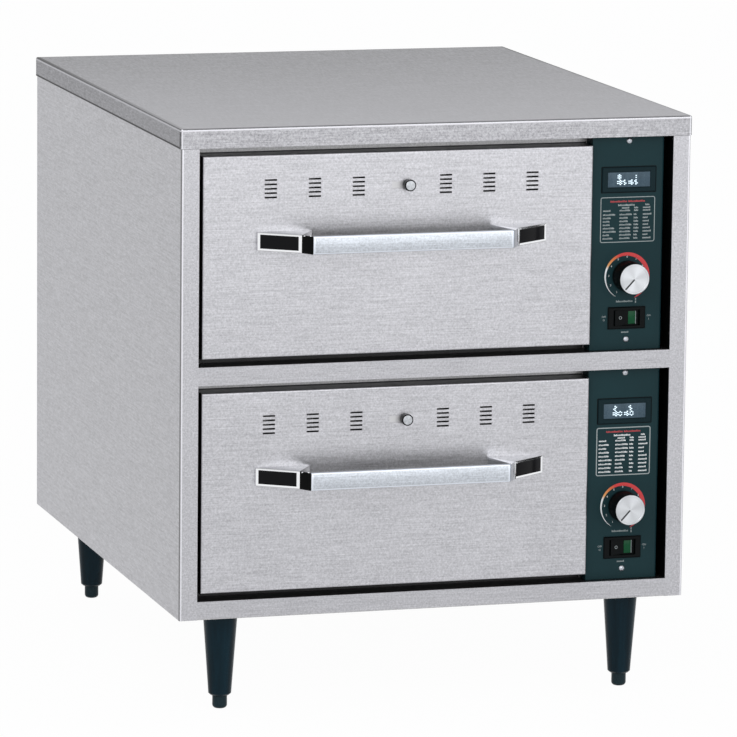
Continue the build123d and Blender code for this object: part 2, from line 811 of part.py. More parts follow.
def make_rocker(z0):
    """The rocker, pressed in at its right-hand end."""
    half = switch_rim_width / 2 - rocker_end_gap
    heel = rocker_heel_width / 2
    outline = Polyline(
        (-half, 0), (-half, -rocker_crown), (0, -rocker_hollow), (half, -rocker_crown), (half, 0),
        (heel, rocker_heel), (-heel, rocker_heel), close=True)
    height = switch_rim_height - 2 * rocker_clearance
    rocker = extrude(make_face(outline), height / 2, both=True)
    pivot_y = face_y + panel_depth + rocker_pivot_depth
    place = Pos(control_x, pivot_y, control_z(z0, switch_drop)) * Rot(0, 0, rocker_tilt)
    return place * rocker + rocker_pin(z0, rocker_pin_diameter / 2, rocker_pin_length)


# ---- Small parts -------------------------------------------------------------------
def screw(x, z, seat, facing):
    """A screw along Y with its domed head on a face. facing is -1 for the front."""
    head_depth = sorted((seat, seat + facing * screw_head_height))
    head = rod(x, z, screw_head_diameter / 2, head_depth)
    outer = head.faces().sort_by(Axis.Y)[0 if facing < 0 else -1]
    head = fillet(outer.edges(), screw_head_height / 2)
    return head + rod(x, z, screw_diameter / 2, sorted((seat, seat - facing * screw_length)))


def make_screws():
    """The control panels' screws and the back panel's screws."""
    screws = []
    for z0 in openings.values():
        screws += [screw(control_x, z, panel_depth, -1) for z in panel_screw_places(z0)]
    for sign in (-1, 1):
        screws += [screw(sign * back_screw_x, z, body_depth, 1) for z in back_screw_places()]
    return screws


def make_cord_gland():
    """The cord inlet: a flanged gland through the back panel and its lock nut."""
    z = base_z + gland_z
    inside = body_depth - sheet
    flange = rod(gland_x, z, gland_flange_diameter / 2, (body_depth, body_depth + gland_flange_thickness))
    nose = rod(gland_x, z, gland_nose_diameter / 2, (body_depth, body_depth + gland_reach))
    nose = chamfer(nose.faces().sort_by(Axis.Y)[-1].edges(), sheet)
    thread = rod(gland_x, z, gland_thread_diameter / 2, (body_depth - gland_thread_length, body_depth))
    half = gland_nut_width / 2
    nut_depth = (inside - gland_nut_thickness, inside)
    nut = block((gland_x - half, gland_x + half), nut_depth, (z - half, z + half))
    bore_depth = (body_depth - gland_thread_length, body_depth + gland_reach)
    return flange + nose + thread + nut - rod(gland_x, z, gland_bore_diameter / 2, bore_depth)


def make_terminal_block():
    """The block where the supply cord's wires end, on the cabinet floor."""
    width, length, height = terminal_size
    back = body_depth - terminal_setback - 2 * sheet
    x = (gland_x - width / 2, gland_x + width / 2)
    return block(x, (back - length, back), (base_z + sheet, base_z + sheet + height))


# ---- Nodes -------------------------------------------------------------------------
nodes = {
    "lid": make_lid(),
    "left_side_panel": make_side(-1),
    "right_side_panel": make_side(1),
    "back_panel": make_back_panel(),
    "base_pan": make_base_pan(),
    "middle_rail": make_middle_rail(),
    "bottom_rail": make_bottom_rail(),
    "compartment_wall": make_compartment_wall(),
    "insulation": make_insulation(),
    "legs": make_legs(),
    "screws": make_screws(),
    "cord_gland": make_cord_gland(),
    "terminal_block": make_terminal_block(),
}
for corner, (leg_x, leg_depth) in legs_xy.items():
    nodes[f"foot_{corner}"] = make_foot(leg_x, leg_depth)
drawer_parts = {
    "liner_wrap": make_liner_wrap,
    "liner_cap": make_liner_cap,
    "heating_element": make_heating_element,
    "slide_fixed": make_slide_fixed,
    "slide_middle": make_slide_middle,
    "slide_inner": make_slide_inner,
    "front_skin": make_front_skin,
    "front_backing": make_front_backing,
    "gasket": make_gasket,
    "vent_slider": make_vent_slider,
    "vent_knob": make_vent_knob,
    "handle_bar": make_handle_bar,
    "handle_ends": make_handle_ends,
    "drawer_frame": make_drawer_frame,
    "pan": make_pan,
    "control_panel": make_control_panel,
    "display": make_display,
    "controller": make_controller,
    "knob": make_knob,
    "switch_body": make_switch_body,
    "rocker": make_rocker,
}
for level, opening_z in openings.items():
    for part_name, make in drawer_parts.items():
        nodes[f"{level}_{part_name}"] = make(opening_z)

os.makedirs("parts", exist_ok=True)
for name, shape in nodes.items():
    whole = Compound(shape) if isinstance(shape, list) else shape
    export_step(whole, f"parts/{name}.step")
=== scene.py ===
"""The looks of a two-drawer countertop warming drawer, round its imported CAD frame.

Metres, in the frame of the CAD model: +X right, the front faces -Y, +Z up, floor at z = 0.
"""
import math
import random

import bmesh
import bpy
from mathutils import Matrix, Vector


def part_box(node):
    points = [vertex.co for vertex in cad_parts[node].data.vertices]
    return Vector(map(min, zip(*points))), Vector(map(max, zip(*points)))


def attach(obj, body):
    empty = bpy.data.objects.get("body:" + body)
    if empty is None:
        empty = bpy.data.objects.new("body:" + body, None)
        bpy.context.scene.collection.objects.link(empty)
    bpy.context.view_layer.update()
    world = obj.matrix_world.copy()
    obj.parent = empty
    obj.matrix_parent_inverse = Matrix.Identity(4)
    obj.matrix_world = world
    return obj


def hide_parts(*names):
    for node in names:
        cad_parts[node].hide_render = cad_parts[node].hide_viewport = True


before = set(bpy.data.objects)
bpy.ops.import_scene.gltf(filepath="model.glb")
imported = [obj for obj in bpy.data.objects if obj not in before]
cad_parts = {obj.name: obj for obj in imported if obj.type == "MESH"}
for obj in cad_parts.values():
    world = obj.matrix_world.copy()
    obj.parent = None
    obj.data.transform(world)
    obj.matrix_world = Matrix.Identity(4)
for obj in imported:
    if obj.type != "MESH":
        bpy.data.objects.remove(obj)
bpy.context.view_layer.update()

MM = 0.001
LEVELS = ("lower", "upper")
SIDES = (-1, 1)


# ---- Places taken from the frame ----------------------------------------------------
def span(node):
    """Low corner, high corner and centre of a CAD node."""
    low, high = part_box(node)
    return low, high, (low + high) / 2


def round_span(node):
    """Front y, back y, radius and middle of a node that is round seen from the front."""
    low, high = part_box(node)
    radius = (high.z - low.z) / 2
    return low.y, high.y, radius, Vector((low.x + radius, 0, low.z + radius))


lid_low, lid_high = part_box("lid")
face_y = lid_low.y


# ---- Shader trees -------------------------------------------------------------------
def operator(operation, swapped=False):
    """A Python operator that adds a Math node. Swapped, it serves a number on the left."""

    def act(self, other):
        values = (other, self) if swapped else (self, other)
        return self.paint.node("ShaderNodeMath", {"operation": operation}, dict(enumerate(values)))

    return act


class Val:
    """A socket that takes part in Python arithmetic by adding Math nodes."""

    __add__ = operator("ADD")
    __radd__ = operator("ADD", True)
    __sub__ = operator("SUBTRACT")
    __rsub__ = operator("SUBTRACT", True)
    __mul__ = operator("MULTIPLY")
    __rmul__ = operator("MULTIPLY", True)
    __truediv__ = operator("DIVIDE")
    most = operator("MAXIMUM")
    least = operator("MINIMUM")
    turn_from = operator("ARCTAN2")

    def __init__(self, paint, socket):
        self.paint = paint
        self.socket = socket

    def call(self, operation):
        """A Math node of one value."""
        return self.paint.node("ShaderNodeMath", {"operation": operation}, {0: self})


class Paint:
    """A new material and the short ways to fill its tree."""

    def __init__(self, name):
        self.material = bpy.data.materials.new(name)
        self.material.use_nodes = True
        self.tree = self.material.node_tree
        self.shader = self.tree.nodes["Principled BSDF"]

    def node(self, kind, settings=None, values=None, output=0):
        """Adds a node, sets what it is first and its sockets after, and returns an output."""
        made = self.tree.nodes.new(kind)
        for key, value in (settings or {}).items():
            if key == "stops":
                self._fill_ramp(made.color_ramp, value)
            else:
                setattr(made, key, value)
        for key, value in (values or {}).items():
            self.feed(made.inputs[key], value)
        return Val(self, made.outputs[output])

    @staticmethod
    def _fill_ramp(ramp, stops):
        for place, colour in stops[2:]:
            ramp.elements.new(place)
        for element, (place, colour) in zip(ramp.elements, sorted(stops, key=lambda s: s[0])):
            element.position = place
            element.color = (*colour, 1.0)

    def feed(self, socket, value):
        if isinstance(value, Val):
            self.tree.links.new(value.socket, socket)
        elif isinstance(value, (tuple, list)) and len(value) == 3 and len(socket.default_value) == 4:
            socket.default_value = (*value, 1.0)
        else:
            socket.default_value = value

    def set(self, **sockets):
        """Sets or links sockets of the main shader, named with underscores for spaces."""
        for key, value in sockets.items():
            self.feed(self.shader.inputs[key.replace("_", " ")], value)

    def place(self, centre=(0, 0, 0), scale=(1, 1, 1)):
        """Object coordinates, counted from a centre and stretched."""
        at = self.node("ShaderNodeTexCoord", output="Object")
        offset = tuple(-c * s for c, s in zip(centre, scale))
        return self.node("ShaderNodeMapping", None, {"Vector": at, "Location": offset, "Scale": tuple(scale)})

    def along(self, axis):
        """The object coordinate along X, Y or Z, in metres."""
        at = self.node("ShaderNodeTexCoord", output="Object")
        return self.node("ShaderNodeSeparateXYZ", None, {0: at}, output=axis)

    def from_middle(self, axis, middle=0.0):
        """The distance from a plane across an axis, in metres."""
        return (self.along(axis) - middle).call("ABSOLUTE")

    def noise(self, scale, detail=3.0, stretch=(1, 1, 1), roughness=0.55):
        """A noise value from 0 to 1 at so many features a metre."""
        values = {"Vector": self.place(scale=stretch), "Scale": scale,
                  "Detail": detail, "Roughness": roughness}
        return self.node("ShaderNodeTexNoise", None, values, output="Fac")

    def mix(self, factor, first, second):
        """A colour mixed from two."""
        return self.node("ShaderNodeMix", {"data_type": "RGBA"}, {0: factor, 6: first, 7: second}, output=2)

    def ramp(self, value, *stops):
        return self.node("ShaderNodeValToRGB", {"stops": stops}, {"Fac": value}, output="Color")

    def bump(self, height, distance):
        """Feeds the normal from a height between 0 and 1."""
        values = {"Height": height, "Distance": distance, "Strength": 1.0}
        self.set(Normal=self.node("ShaderNodeBump", None, values, output="Normal"))

    def across_and_up(self, centre):
        """The object coordinates along X and Z, counted from a point on the front."""
        at = self.node("ShaderNodeSeparateXYZ", None, {0: self.place(centre)})
        return [Val(self, at.socket.node.outputs[axis]) for axis in "XZ"]


def shade(colour, factor):
    """A colour made lighter or darker."""
    return tuple(min(1.0, c * factor) for c in colour)


def rise(value, start, end):
    """0 before the start and 1 past the end, with a straight slope between."""
    return ((value - start) / (end - start)).most(0.0).least(1.0)


GRAIN_LENGTH = {"X": (0.025, 1, 1), "Y": (1, 0.025, 1), "Z": (1, 1, 0.025)}


def brushed(name, colour, grain, roughness=0.34, grain_depth=0.00002, smudge=0.04, painted_shade=None, rubbed_and_lit=None,
            painted_shade_tone=0.12, rubbed_and_lit_tone=1.5, edge_tint=1.0, speck=(1, 1, 1), cloud_scale=9, cloud_share=0.15,
            contrast=0.38):
    """Satin steel: speckled grain along one axis and cloudy handling marks.

    One mask darkens inner faces, folds and gaps as painted shade; the other lightens bends, edges and lit
    parts as painted highlight.
    """
    paint = Paint(name)
    lines = paint.noise(900, 2, GRAIN_LENGTH[grain])
    specks = paint.noise(480, 4, speck, 0.75)
    clouds = paint.noise(cloud_scale, 4)
    tone = 0.9 * lines + 1.9 * specks - 0.9
    steel = paint.mix((1 - cloud_share) * tone + cloud_share * clouds, shade(colour, 1 - contrast),
                      shade(colour, 1 + contrast))
    if painted_shade:
        steel = paint.mix(painted_shade(paint), steel, shade(colour, painted_shade_tone))
    if rubbed_and_lit:
        steel = paint.mix(rubbed_and_lit(paint), steel, shade(colour, rubbed_and_lit_tone))
    paint.set(Base_Color=steel, Metallic=1.0, Specular_Tint=(edge_tint,) * 3,
              Roughness=(roughness - smudge) + 0.06 * tone + (2 * smudge) * clouds)
    paint.bump(tone, grain_depth)
    return paint.material


def polished(name, colour, roughness=0.07, painted_shade=None, painted_shade_tone=0.55):
    """Polished plating with faint wiping marks. Its mask darkens faces as a painted dark reflection."""
    paint = Paint(name)
    wipes = paint.noise(60, 4, (0.3, 1, 1))
    plating = paint.mix(wipes, shade(colour, 0.94), colour)
    if painted_shade:
        plating = paint.mix(painted_shade(paint), plating, shade(colour, painted_shade_tone))
    paint.set(Base_Color=plating, Metallic=1.0, Roughness=roughness + 0.08 * wipes)
    paint.bump(wipes, 0.00001)
    return paint.material


def moulded(name, colour, roughness=0.42, pits=1400, depth=0.00003, coat=0.0, sheen=0.12, patch=22,
            streak=(1, 1, 1), spread=0.15):
    """Moulded plastic or powder paint: a fine pitted skin with worn patches or streaks."""
    paint = Paint(name)
    skin = paint.noise(pits, 2)
    rubbed_and_lit = paint.noise(patch, 3, streak)
    paint.set(Base_Color=paint.mix(rubbed_and_lit, shade(colour, 1 - spread), shade(colour, 1 + spread)),
              Roughness=(roughness - 0.06) + 0.05 * skin + 0.10 * rubbed_and_lit,
              Specular_IOR_Level=sheen, Coat_Weight=coat, Coat_Roughness=0.2)
    paint.bump(skin, depth)
    return paint.material


def heated_steel(name, colour):
    """Heater tube: brown and blue heat tints along a matt metal."""
    paint = Paint(name)
    tint = paint.noise(16, 3)
    tinted = paint.ramp(tint, (0.3, shade(colour, 0.6)), (0.7, colour), (0.5, (0.16, 0.12, 0.14)))
    paint.set(Base_Color=tinted, Metallic=0.8, Roughness=0.45 + 0.2 * tint)
    return paint.material


def wool(name, colour):
    """Mineral wool: tangled fibres, painted darker in the hollows as shade."""
    paint = Paint(name)
    fibres = paint.noise(700, 5, (0.15, 1, 1), 0.7)
    tufts = paint.noise(60, 4)
    paint.set(Base_Color=paint.mix(fibres, shade(colour, 0.7), colour), Roughness=0.95, Sheen_Weight=0.3)
    paint.bump(0.5 * fibres + 0.5 * tufts, 0.001)
    return paint.material


def ink(name, colour, glow=0.0):
    """Printed ink: slightly uneven cover."""
    paint = Paint(name)
    cover = paint.noise(3000, 2)
    paint.set(Base_Color=paint.mix(cover, shade(colour, 0.88), colour), Roughness=0.5 + 0.1 * cover,
              Emission_Color=colour, Emission_Strength=glow)
    return paint.material


def angle_from_top(paint, centre):
    """Clockwise turn from 12 o'clock round a point on the front, from -0.5 to 0.5."""
    across, up = paint.across_and_up(centre)
    return across.turn_from(up) / (2 * math.pi)


def distance_from(paint, centre):
    """Distance from a point on the front, in metres."""
    across, up = paint.across_and_up(centre)
    return (across * across + up * up).call("SQRT")


def heat_scale_ink(name, centre):
    """The dial band's ink: white, through amber, to red, clockwise."""
    paint = Paint(name)
    turn = angle_from_top(paint, centre) + 0.5
    cover = paint.noise(2500, 2)
    colour = paint.ramp(turn, (0.0, INK_WHITE), (0.30, INK_WHITE), (0.33, (0.74, 0.36, 0.12)),
                        (0.39, (0.66, 0.17, 0.04)), (0.44, (0.62, 0.035, 0.035)), (1.0, (0.55, 0.025, 0.035)))
    paint.set(Base_Color=colour, Roughness=0.45 + 0.1 * cover)
    return paint.material


def spun_metal(name, colour, centre):
    """Turned metal: fine rings and four soft fans of painted highlight round a centre on the front."""
    paint = Paint(name)
    radius = distance_from(paint, centre)
    rings = (radius * 9000).call("SINE")
    highlight_fans = (angle_from_top(paint, centre) * (4 * math.pi * 2)).call("SINE")
    speck = paint.noise(900, 3)
    metal = paint.mix(0.5 + 0.25 * highlight_fans + 0.25 * rings, shade(colour, 0.70), colour)
    paint.set(Base_Color=metal, Metallic=1.0, Roughness=0.26 + 0.08 * speck)
    paint.bump(0.5 + 0.5 * rings, 0.00002)
    return paint.material


def display_glass(name):
    """The readout's tinted window: blue grey, with faint upright bands and specks."""
    paint = Paint(name)
    bands = paint.noise(170, 2, (1, 1, 0.15))
    specks = paint.noise(700, 3)
    tint = paint.mix(0.6 * bands + 0.9 * specks - 0.25, (0.012, 0.030, 0.046), (0.105, 0.160, 0.200))
    paint.set(Base_Color=tint, Roughness=0.22 + 0.08 * bands, Specular_IOR_Level=0.15)
    return paint.material


INK_WHITE = (0.80, 0.82, 0.82)
STEEL = (0.478, 0.478, 0.505)
LINER = (0.42, 0.42, 0.43)
PANEL = (0.008, 0.030, 0.035)
BLACK = (0.002, 0.003, 0.0035)

front_skin_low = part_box("upper_front_skin")[0]
mouth_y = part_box("upper_liner_wrap")[0].y
opening_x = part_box("middle_rail")[1].x
opening_top = lid_low.z
side_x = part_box("right_side_panel")[1].x
MOUTH_STRIP = 7.6 * MM
LEVER_SHOWS = 24 * MM
# Where the painted light over the lid's top starts; it grows towards the front.
LID_LIGHT_STARTS = 0.30


def within(value, low, high, soft):
    """1 between two values, with a short slope at each end."""
    return rise(value, low - soft, low) * (1 - rise(value, high, high + soft))


def front_return_shade(paint):
    """Painted shade on the drawer front's folded returns and what lies behind its outer sheet."""
    return rise(paint.along("Y"), front_skin_low.y + 0.6 * MM, front_skin_low.y + 3 * MM)


def behind_face(paint):
    """What lies behind the cabinet's front plane."""
    return rise(paint.along("Y"), face_y + 0.8 * MM, face_y + 3 * MM)


def front_corner(paint):
    """A narrow line down the sides, just behind the folded front corners."""
    return within(paint.along("Y"), face_y + 0.7 * MM, face_y + 4.2 * MM, 0.5 * MM)


def corner_line(paint, outer):
    """The painted shade line down a side face that lies at a distance from the middle."""
    return front_corner(paint) * rise(paint.from_middle("X"), outer - 0.8 * MM, outer - 0.3 * MM) * 0.8


def side_shade(paint):
    """Painted shade on the posts' inner faces, and the painted shade line down each folded front corner."""
    from_middle = paint.from_middle("X")
    post = (1 - rise(from_middle, opening_x + 1.6 * MM, opening_x + 2.2 * MM)) * behind_face(paint)
    return post.most(corner_line(paint, side_x))


def side_highlight(paint):
    """The painted highlight line beside each folded front corner."""
    from_middle = paint.from_middle("X")
    return within(from_middle, side_x - 2.0 * MM, side_x - 0.9 * MM, 0.3 * MM) * (1 - behind_face(paint))


def lid_rim(paint, start, end):
    """1 past the bend along the lid's four top edges, counted in from its outer faces."""
    across = rise(paint.from_middle("X"), lid_high.x - start, lid_high.x - end)
    front = 1 - rise(paint.along("Y"), lid_low.y + end, lid_low.y + start)
    back = rise(paint.along("Y"), lid_high.y - start, lid_high.y - end)
    return across.most(front).most(back)


def lid_shade(paint):
    """Painted shade on the lid's inward hem, and painted shade lines along its top bend and down its front
    corners.
    """
    hem = (1 - rise(paint.along("Z"), opening_top + 1.6 * MM, opening_top + 2.4 * MM)) * behind_face(paint)
    bend = rise(paint.along("Z"), lid_high.z - 1.4 * MM, lid_high.z - 0.7 * MM)
    bend = bend * lid_rim(paint, 5.0 * MM, 3.6 * MM)
    return hem.most(bend * 0.85).most(corner_line(paint, lid_high.x))


def lid_highlight(paint):
    """Painted highlight lines under the lid's top bend and down its corners, and painted light over the front
    part of its top.
    """
    under = within(paint.along("Z"), lid_high.z - 2.9 * MM, lid_high.z - 1.8 * MM, 0.4 * MM)
    corner = within(paint.from_middle("X"), lid_high.x - 2.6 * MM, lid_high.x - 1.4 * MM, 0.3 * MM)
    top = rise(paint.along("Z"), lid_high.z - 0.6 * MM, lid_high.z - 0.2 * MM)
    front = rise(paint.along("Y"), LID_LIGHT_STARTS, lid_low.y)
    return under.most(corner * (1 - behind_face(paint))).most(front * top * 0.6)


def mouth_plate_shade(paint):
    """Painted shade on the liner's plate round the mouth of the cavity, but for the strip over the drawer
    front.
    """
    plate = 1 - rise(paint.along("Y"), mouth_y + 1.1 * MM, mouth_y + 1.6 * MM)
    height = paint.along("Z")
    strips = []
    for level in LEVELS:
        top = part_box(level + "_control_panel")[1].z
        strips.append(within(height, top - MOUTH_STRIP, top + 1 * MM, 0.4 * MM))
    return plate * (1 - strips[0]) * (1 - strips[1])


def backing_inside_shade(paint):
    """Painted shade on the inner side of the sheet that closes a drawer front."""
    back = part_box("upper_front_backing")[1].y
    return 1 - rise(paint.along("Y"), back - 1.3 * MM, back - 1.0 * MM)


def lit_beside_lever(paint):
    """The part of the vent slider that shows through its lever's slot, painted lighter there than the
    slider's painted shade.
    """
    middle = span("upper_vent_knob")[2]
    return within(paint.along("X"), middle.x - LEVER_SHOWS, middle.x + LEVER_SHOWS, 2 * MM)


# The copies of STEEL are lit and shaded copies: the lid's is darkest for its top and the sides' darker than
# the front's, as painted shade. The rails are painted dark behind the front plane as shade.
steel_x = brushed("satin_steel_across", shade(STEEL, 0.94), "X")
steel_y = brushed("satin_steel_depth", shade(STEEL, 0.91), "Y", painted_shade=side_shade, rubbed_and_lit=side_highlight,
                  rubbed_and_lit_tone=1.6, speck=(1, 0.26, 1))
steel_front = brushed("satin_steel_front", shade(STEEL, 0.97), "X", 0.30, painted_shade=front_return_shade, painted_shade_tone=0.08)
steel_rail = brushed("satin_steel_rail", shade(STEEL, 0.88), "X", painted_shade=behind_face, painted_shade_tone=0.3)
steel_lid = brushed("satin_steel_lid", shade(STEEL, 0.77), "X", painted_shade=lid_shade, rubbed_and_lit=lid_highlight,
                    rubbed_and_lit_tone=1.65, edge_tint=0.66, speck=(1, 0.2, 1), cloud_scale=2.4, cloud_share=0.2,
                    contrast=0.6)
liner_steel = brushed("mill_steel", LINER, "Y", 0.42)
liner_mouth = brushed("mill_steel_mouth", LINER, "Y", 0.42, painted_shade=mouth_plate_shade, painted_shade_tone=0.1)
backing_steel = brushed("mill_steel_backing", LINER, "X", 0.42, painted_shade=backing_inside_shade, painted_shade_tone=0.06)
# The slider's dark base is painted shade, so the slots read dark; beside the lever it is painted lighter.
slider_steel = brushed("mill_steel_slider", shade(LINER, 0.35), "X", 0.45, rubbed_and_lit=lit_beside_lever,
                       rubbed_and_lit_tone=3.6)
pan_steel = brushed("pan_steel", (0.52, 0.52, 0.54), "Y", 0.26)
zinc = brushed("zinc_plate", (0.50, 0.52, 0.56), "Y", 0.34)
chrome = polished("bright_plating", (0.86, 0.87, 0.89))
panel_paint = moulded("panel_paint", PANEL, 0.44, 2200, 0.00002)
black_plastic = moulded("black_plastic", BLACK, 0.38, sheen=0.08)
glossy_black = moulded("glossy_black", (0.002, 0.002, 0.003), 0.18, 900, 0.00001, coat=0.04, sheen=0.1)
bezel_plastic = moulded("bezel_plastic", (0.004, 0.016, 0.020), 0.40, 1800, sheen=0.1)
leg_plastic = moulded("leg_plastic", (0.003, 0.015, 0.023), 0.24, 500, 0.00004, sheen=0.1, patch=110,
                      streak=(1, 1, 0.04), spread=0.9)
foot_metal = moulded("foot_paint", (0.010, 0.024, 0.030), 0.34, 900, 0.00003)
gasket_rubber = moulded("gasket_rubber", (0.008, 0.008, 0.008), 0.75, 700, 0.0001)
heater_steel = heated_steel("heater_tube", (0.30, 0.24, 0.19))
blanket_wool = wool("blanket_wool", (0.75, 0.70, 0.56))
white_ink = ink("white_ink", INK_WHITE)
grey_ink = ink("grey_ink", (0.34, 0.38, 0.38))
faint_ink = ink("faint_ink", (0.24, 0.28, 0.28))
red_ink = ink("red_ink", (0.46, 0.045, 0.05))
lit_segment = ink("lit_segment", (0.68, 0.82, 0.90), 0.8)
green_lens = moulded("green_lens", (0.001, 0.060, 0.020), 0.22, 1200, 0.00002, sheen=0.15)
pointer_ink = ink("pointer_ink", (0.02, 0.022, 0.025))

NODE_MATERIALS = {
    "lid": steel_lid, "left_side_panel": steel_y, "right_side_panel": steel_y, "back_panel": steel_x,
    "base_pan": liner_steel, "middle_rail": steel_rail, "bottom_rail": steel_rail,
    "compartment_wall": liner_steel, "insulation": blanket_wool, "legs": leg_plastic, "screws": zinc,
    "cord_gland": black_plastic, "terminal_block": black_plastic,
}
DRAWER_MATERIALS = {
    "liner_wrap": liner_mouth, "liner_cap": liner_steel, "heating_element": heater_steel,
    "slide_fixed": zinc, "slide_middle": zinc, "slide_inner": zinc, "front_skin": steel_front,
    "front_backing": backing_steel, "gasket": gasket_rubber, "vent_slider": slider_steel,
    "vent_knob": chrome, "handle_bar": steel_x, "handle_ends": chrome, "drawer_frame": liner_steel,
    "pan": pan_steel, "control_panel": panel_paint, "display": bezel_plastic, "controller": black_plastic,
    "knob": black_plastic, "switch_body": black_plastic, "rocker": black_plastic,
}


def dress_nodes():
    """Gives every CAD node its material. The nodes named nowhere are the four feet."""
    for name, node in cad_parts.items():
        level, _, part = name.partition("_")
        if level in LEVELS:
            material = DRAWER_MATERIALS[part]
        else:
            material = NODE_MATERIALS.get(name, foot_metal)
        node.data.materials.clear()
        node.data.materials.append(material)


dress_nodes()


# ---- Mesh helpers -------------------------------------------------------------------
def placed(name, data):
    """A new object in the scene."""
    made = bpy.data.objects.new(name, data)
    bpy.context.scene.collection.objects.link(made)
    return made


def piece(name, mesh, body, slot, material=None, replaces=()):
    """A finished piece at the origin that rides on a body."""
    made = placed(name, mesh)
    if material is not None:
        mesh.materials.clear()
        mesh.materials.append(material)
    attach(made, body)
    if replaces:
        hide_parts(*replaces)


def to_mesh(bm, name, smooth=False):
    """A mesh from a bmesh, with its faces pointing out."""
    bmesh.ops.recalc_face_normals(bm, faces=bm.faces)
    mesh = bpy.data.meshes.new(name)
    bm.to_mesh(mesh)
    bm.free()
    for face in mesh.polygons:
        face.use_smooth = smooth
    return mesh


def add_box(bm, low, high, bevel=0.0, segments=3):
    """A box with rounded edges, added to a bmesh."""
    made = bmesh.ops.create_cube(bm, size=1.0)["verts"]
    size = Vector(high) - Vector(low)
    centre = (Vector(high) + Vector(low)) / 2
    bmesh.ops.scale(bm, vec=size, verts=made)
    bmesh.ops.translate(bm, vec=centre, verts=made)
    if bevel:
        edges = list({edge for vert in made for edge in vert.link_edges})
        bmesh.ops.bevel(bm, geom=edges, offset=bevel, segments=segments, profile=0.5, affect="EDGES",
                        clamp_overlap=True)


def add_prism(bm, outline, low, high):
    """A closed prism between two heights over an outline of (x, y) points."""
    bottom = [bm.verts.new((x, y, low)) for x, y in outline]
    top = [bm.verts.new((x, y, high)) for x, y in outline]
    bm.faces.new(list(reversed(bottom)))
    bm.faces.new(top)
    walls = []
    for i in range(len(outline)):
        j = (i + 1) % len(outline)
        walls.append(bm.faces.new((bottom[i], bottom[j], top[j], top[i])))
    return walls


def add_turned(bm, centre, profile, steps=64):
    """A closed turned shape along Y. profile holds (radius, y) from the front to the back."""
    rings = []
    for radius, y in profile:
        ring = []
        for i in range(steps):
            turn = 2 * math.pi * i / steps
            x = centre.x + radius * math.cos(turn)
            ring.append(bm.verts.new((x, y, centre.z + radius * math.sin(turn))))
        rings.append(ring)
    for near, far in zip(rings, rings[1:]):
        for i in range(steps):
            j = (i + 1) % steps
            bm.faces.new((near[i], near[j], far[j], far[i]))
    bm.faces.new(rings[0])
    bm.faces.new(list(reversed(rings[-1])))


def arc(centre, radius, start, end, steps):
    """Points on an arc, angles in degrees."""
    points = []
    for i in range(steps + 1):
        turn = math.radians(start + (end - start) * i / steps)
        points.append((centre[0] + radius * math.cos(turn), centre[1] + radius * math.sin(turn)))
    return points


def shade_by_angle(mesh, limit=35):
    """Smooth faces, with edges sharper than the limit kept crisp."""
    bm = bmesh.new()
    bm.from_mesh(mesh)
    for face in bm.faces:
        face.smooth = True
    for edge in bm.edges:
        edge.smooth = not edge.is_manifold or edge.calc_face_angle() < math.radians(limit)
    bm.to_mesh(mesh)
    bm.free()
    return mesh


def solid(name, bm, *rest):
    """A finished piece from a bmesh, smooth but for its sharp edges."""
    piece(name, shade_by_angle(to_mesh(bm, name)), *rest)


def bevelled(bm, name, width, segments=3, limit=30):
    """A mesh from a bmesh, with its crisp edges rounded."""
    holder = placed("bevel_work", to_mesh(bm, name))
    modifier = holder.modifiers.new("round", "BEVEL")
    modifier.width = width
    modifier.segments = segments
    modifier.limit_method = "ANGLE"
    modifier.angle_limit = math.radians(limit)
    modifier.harden_normals = False
    result = baked(holder)
    bpy.data.objects.remove(holder)
    return shade_by_angle(result)


def baked(holder):
    """A plain mesh of an object with its modifiers applied."""
    bpy.context.view_layer.update()
    graph = bpy.context.evaluated_depsgraph_get()
    return bpy.data.meshes.new_from_object(holder.evaluated_get(graph))


# ---- Geometry Nodes -----------------------------------------------------------------
def add_node(tree, kind, settings=None, values=None):
    """A node with its settings made, and its inputs set or linked."""
    made = tree.nodes.new(kind)
    for key, value in (settings or {}).items():
        setattr(made, key, value)
    for key, value in (values or {}).items():
        if isinstance(value, bpy.types.NodeSocket):
            tree.links.new(value, made.inputs[key])
        else:
            made.inputs[key].default_value = value
    return made


class Geo:
    """A geometry tree with named inputs."""

    def __init__(self, name, inputs):
        self.tree = bpy.data.node_groups.new(name, "GeometryNodeTree")
        self.tree.interface.new_socket("Geometry", in_out="INPUT", socket_type="NodeSocketGeometry")
        self.keys = {}
        for label, kind, default in inputs:
            socket = self.tree.interface.new_socket(label, in_out="INPUT", socket_type=kind)
            if default is not None:
                socket.default_value = default
            self.keys[label] = socket.identifier
        self.tree.interface.new_socket("Geometry", in_out="OUTPUT", socket_type="NodeSocketGeometry")
        self.given = self.tree.nodes.new("NodeGroupInput")
        self.result = self.tree.nodes.new("NodeGroupOutput")

    def node(self, kind, settings=None, values=None):
        return add_node(self.tree, kind, settings, values)

    def close(self, geometry, finish):
        """Ends the tree in Realize Instances and Set Material."""
        whole = self.node("GeometryNodeRealizeInstances", None, {"Geometry": geometry})
        values = {"Geometry": whole.outputs[0], "Material": finish}
        painted = self.node("GeometryNodeSetMaterial", None, values)
        self.tree.links.new(painted.outputs[0], self.result.inputs[0])

    def run(self, name, mesh, **values):
        """A plain mesh of the tree run on a mesh."""
        holder = placed(name + "_work", mesh)
        modifier = holder.modifiers.new("build", "NODES")
        modifier.node_group = self.tree
        for label, value in values.items():
            modifier[self.keys[label.replace("_", " ")]] = value
        result = baked(holder)
        result.name = name
        bpy.data.objects.remove(holder)
        return result


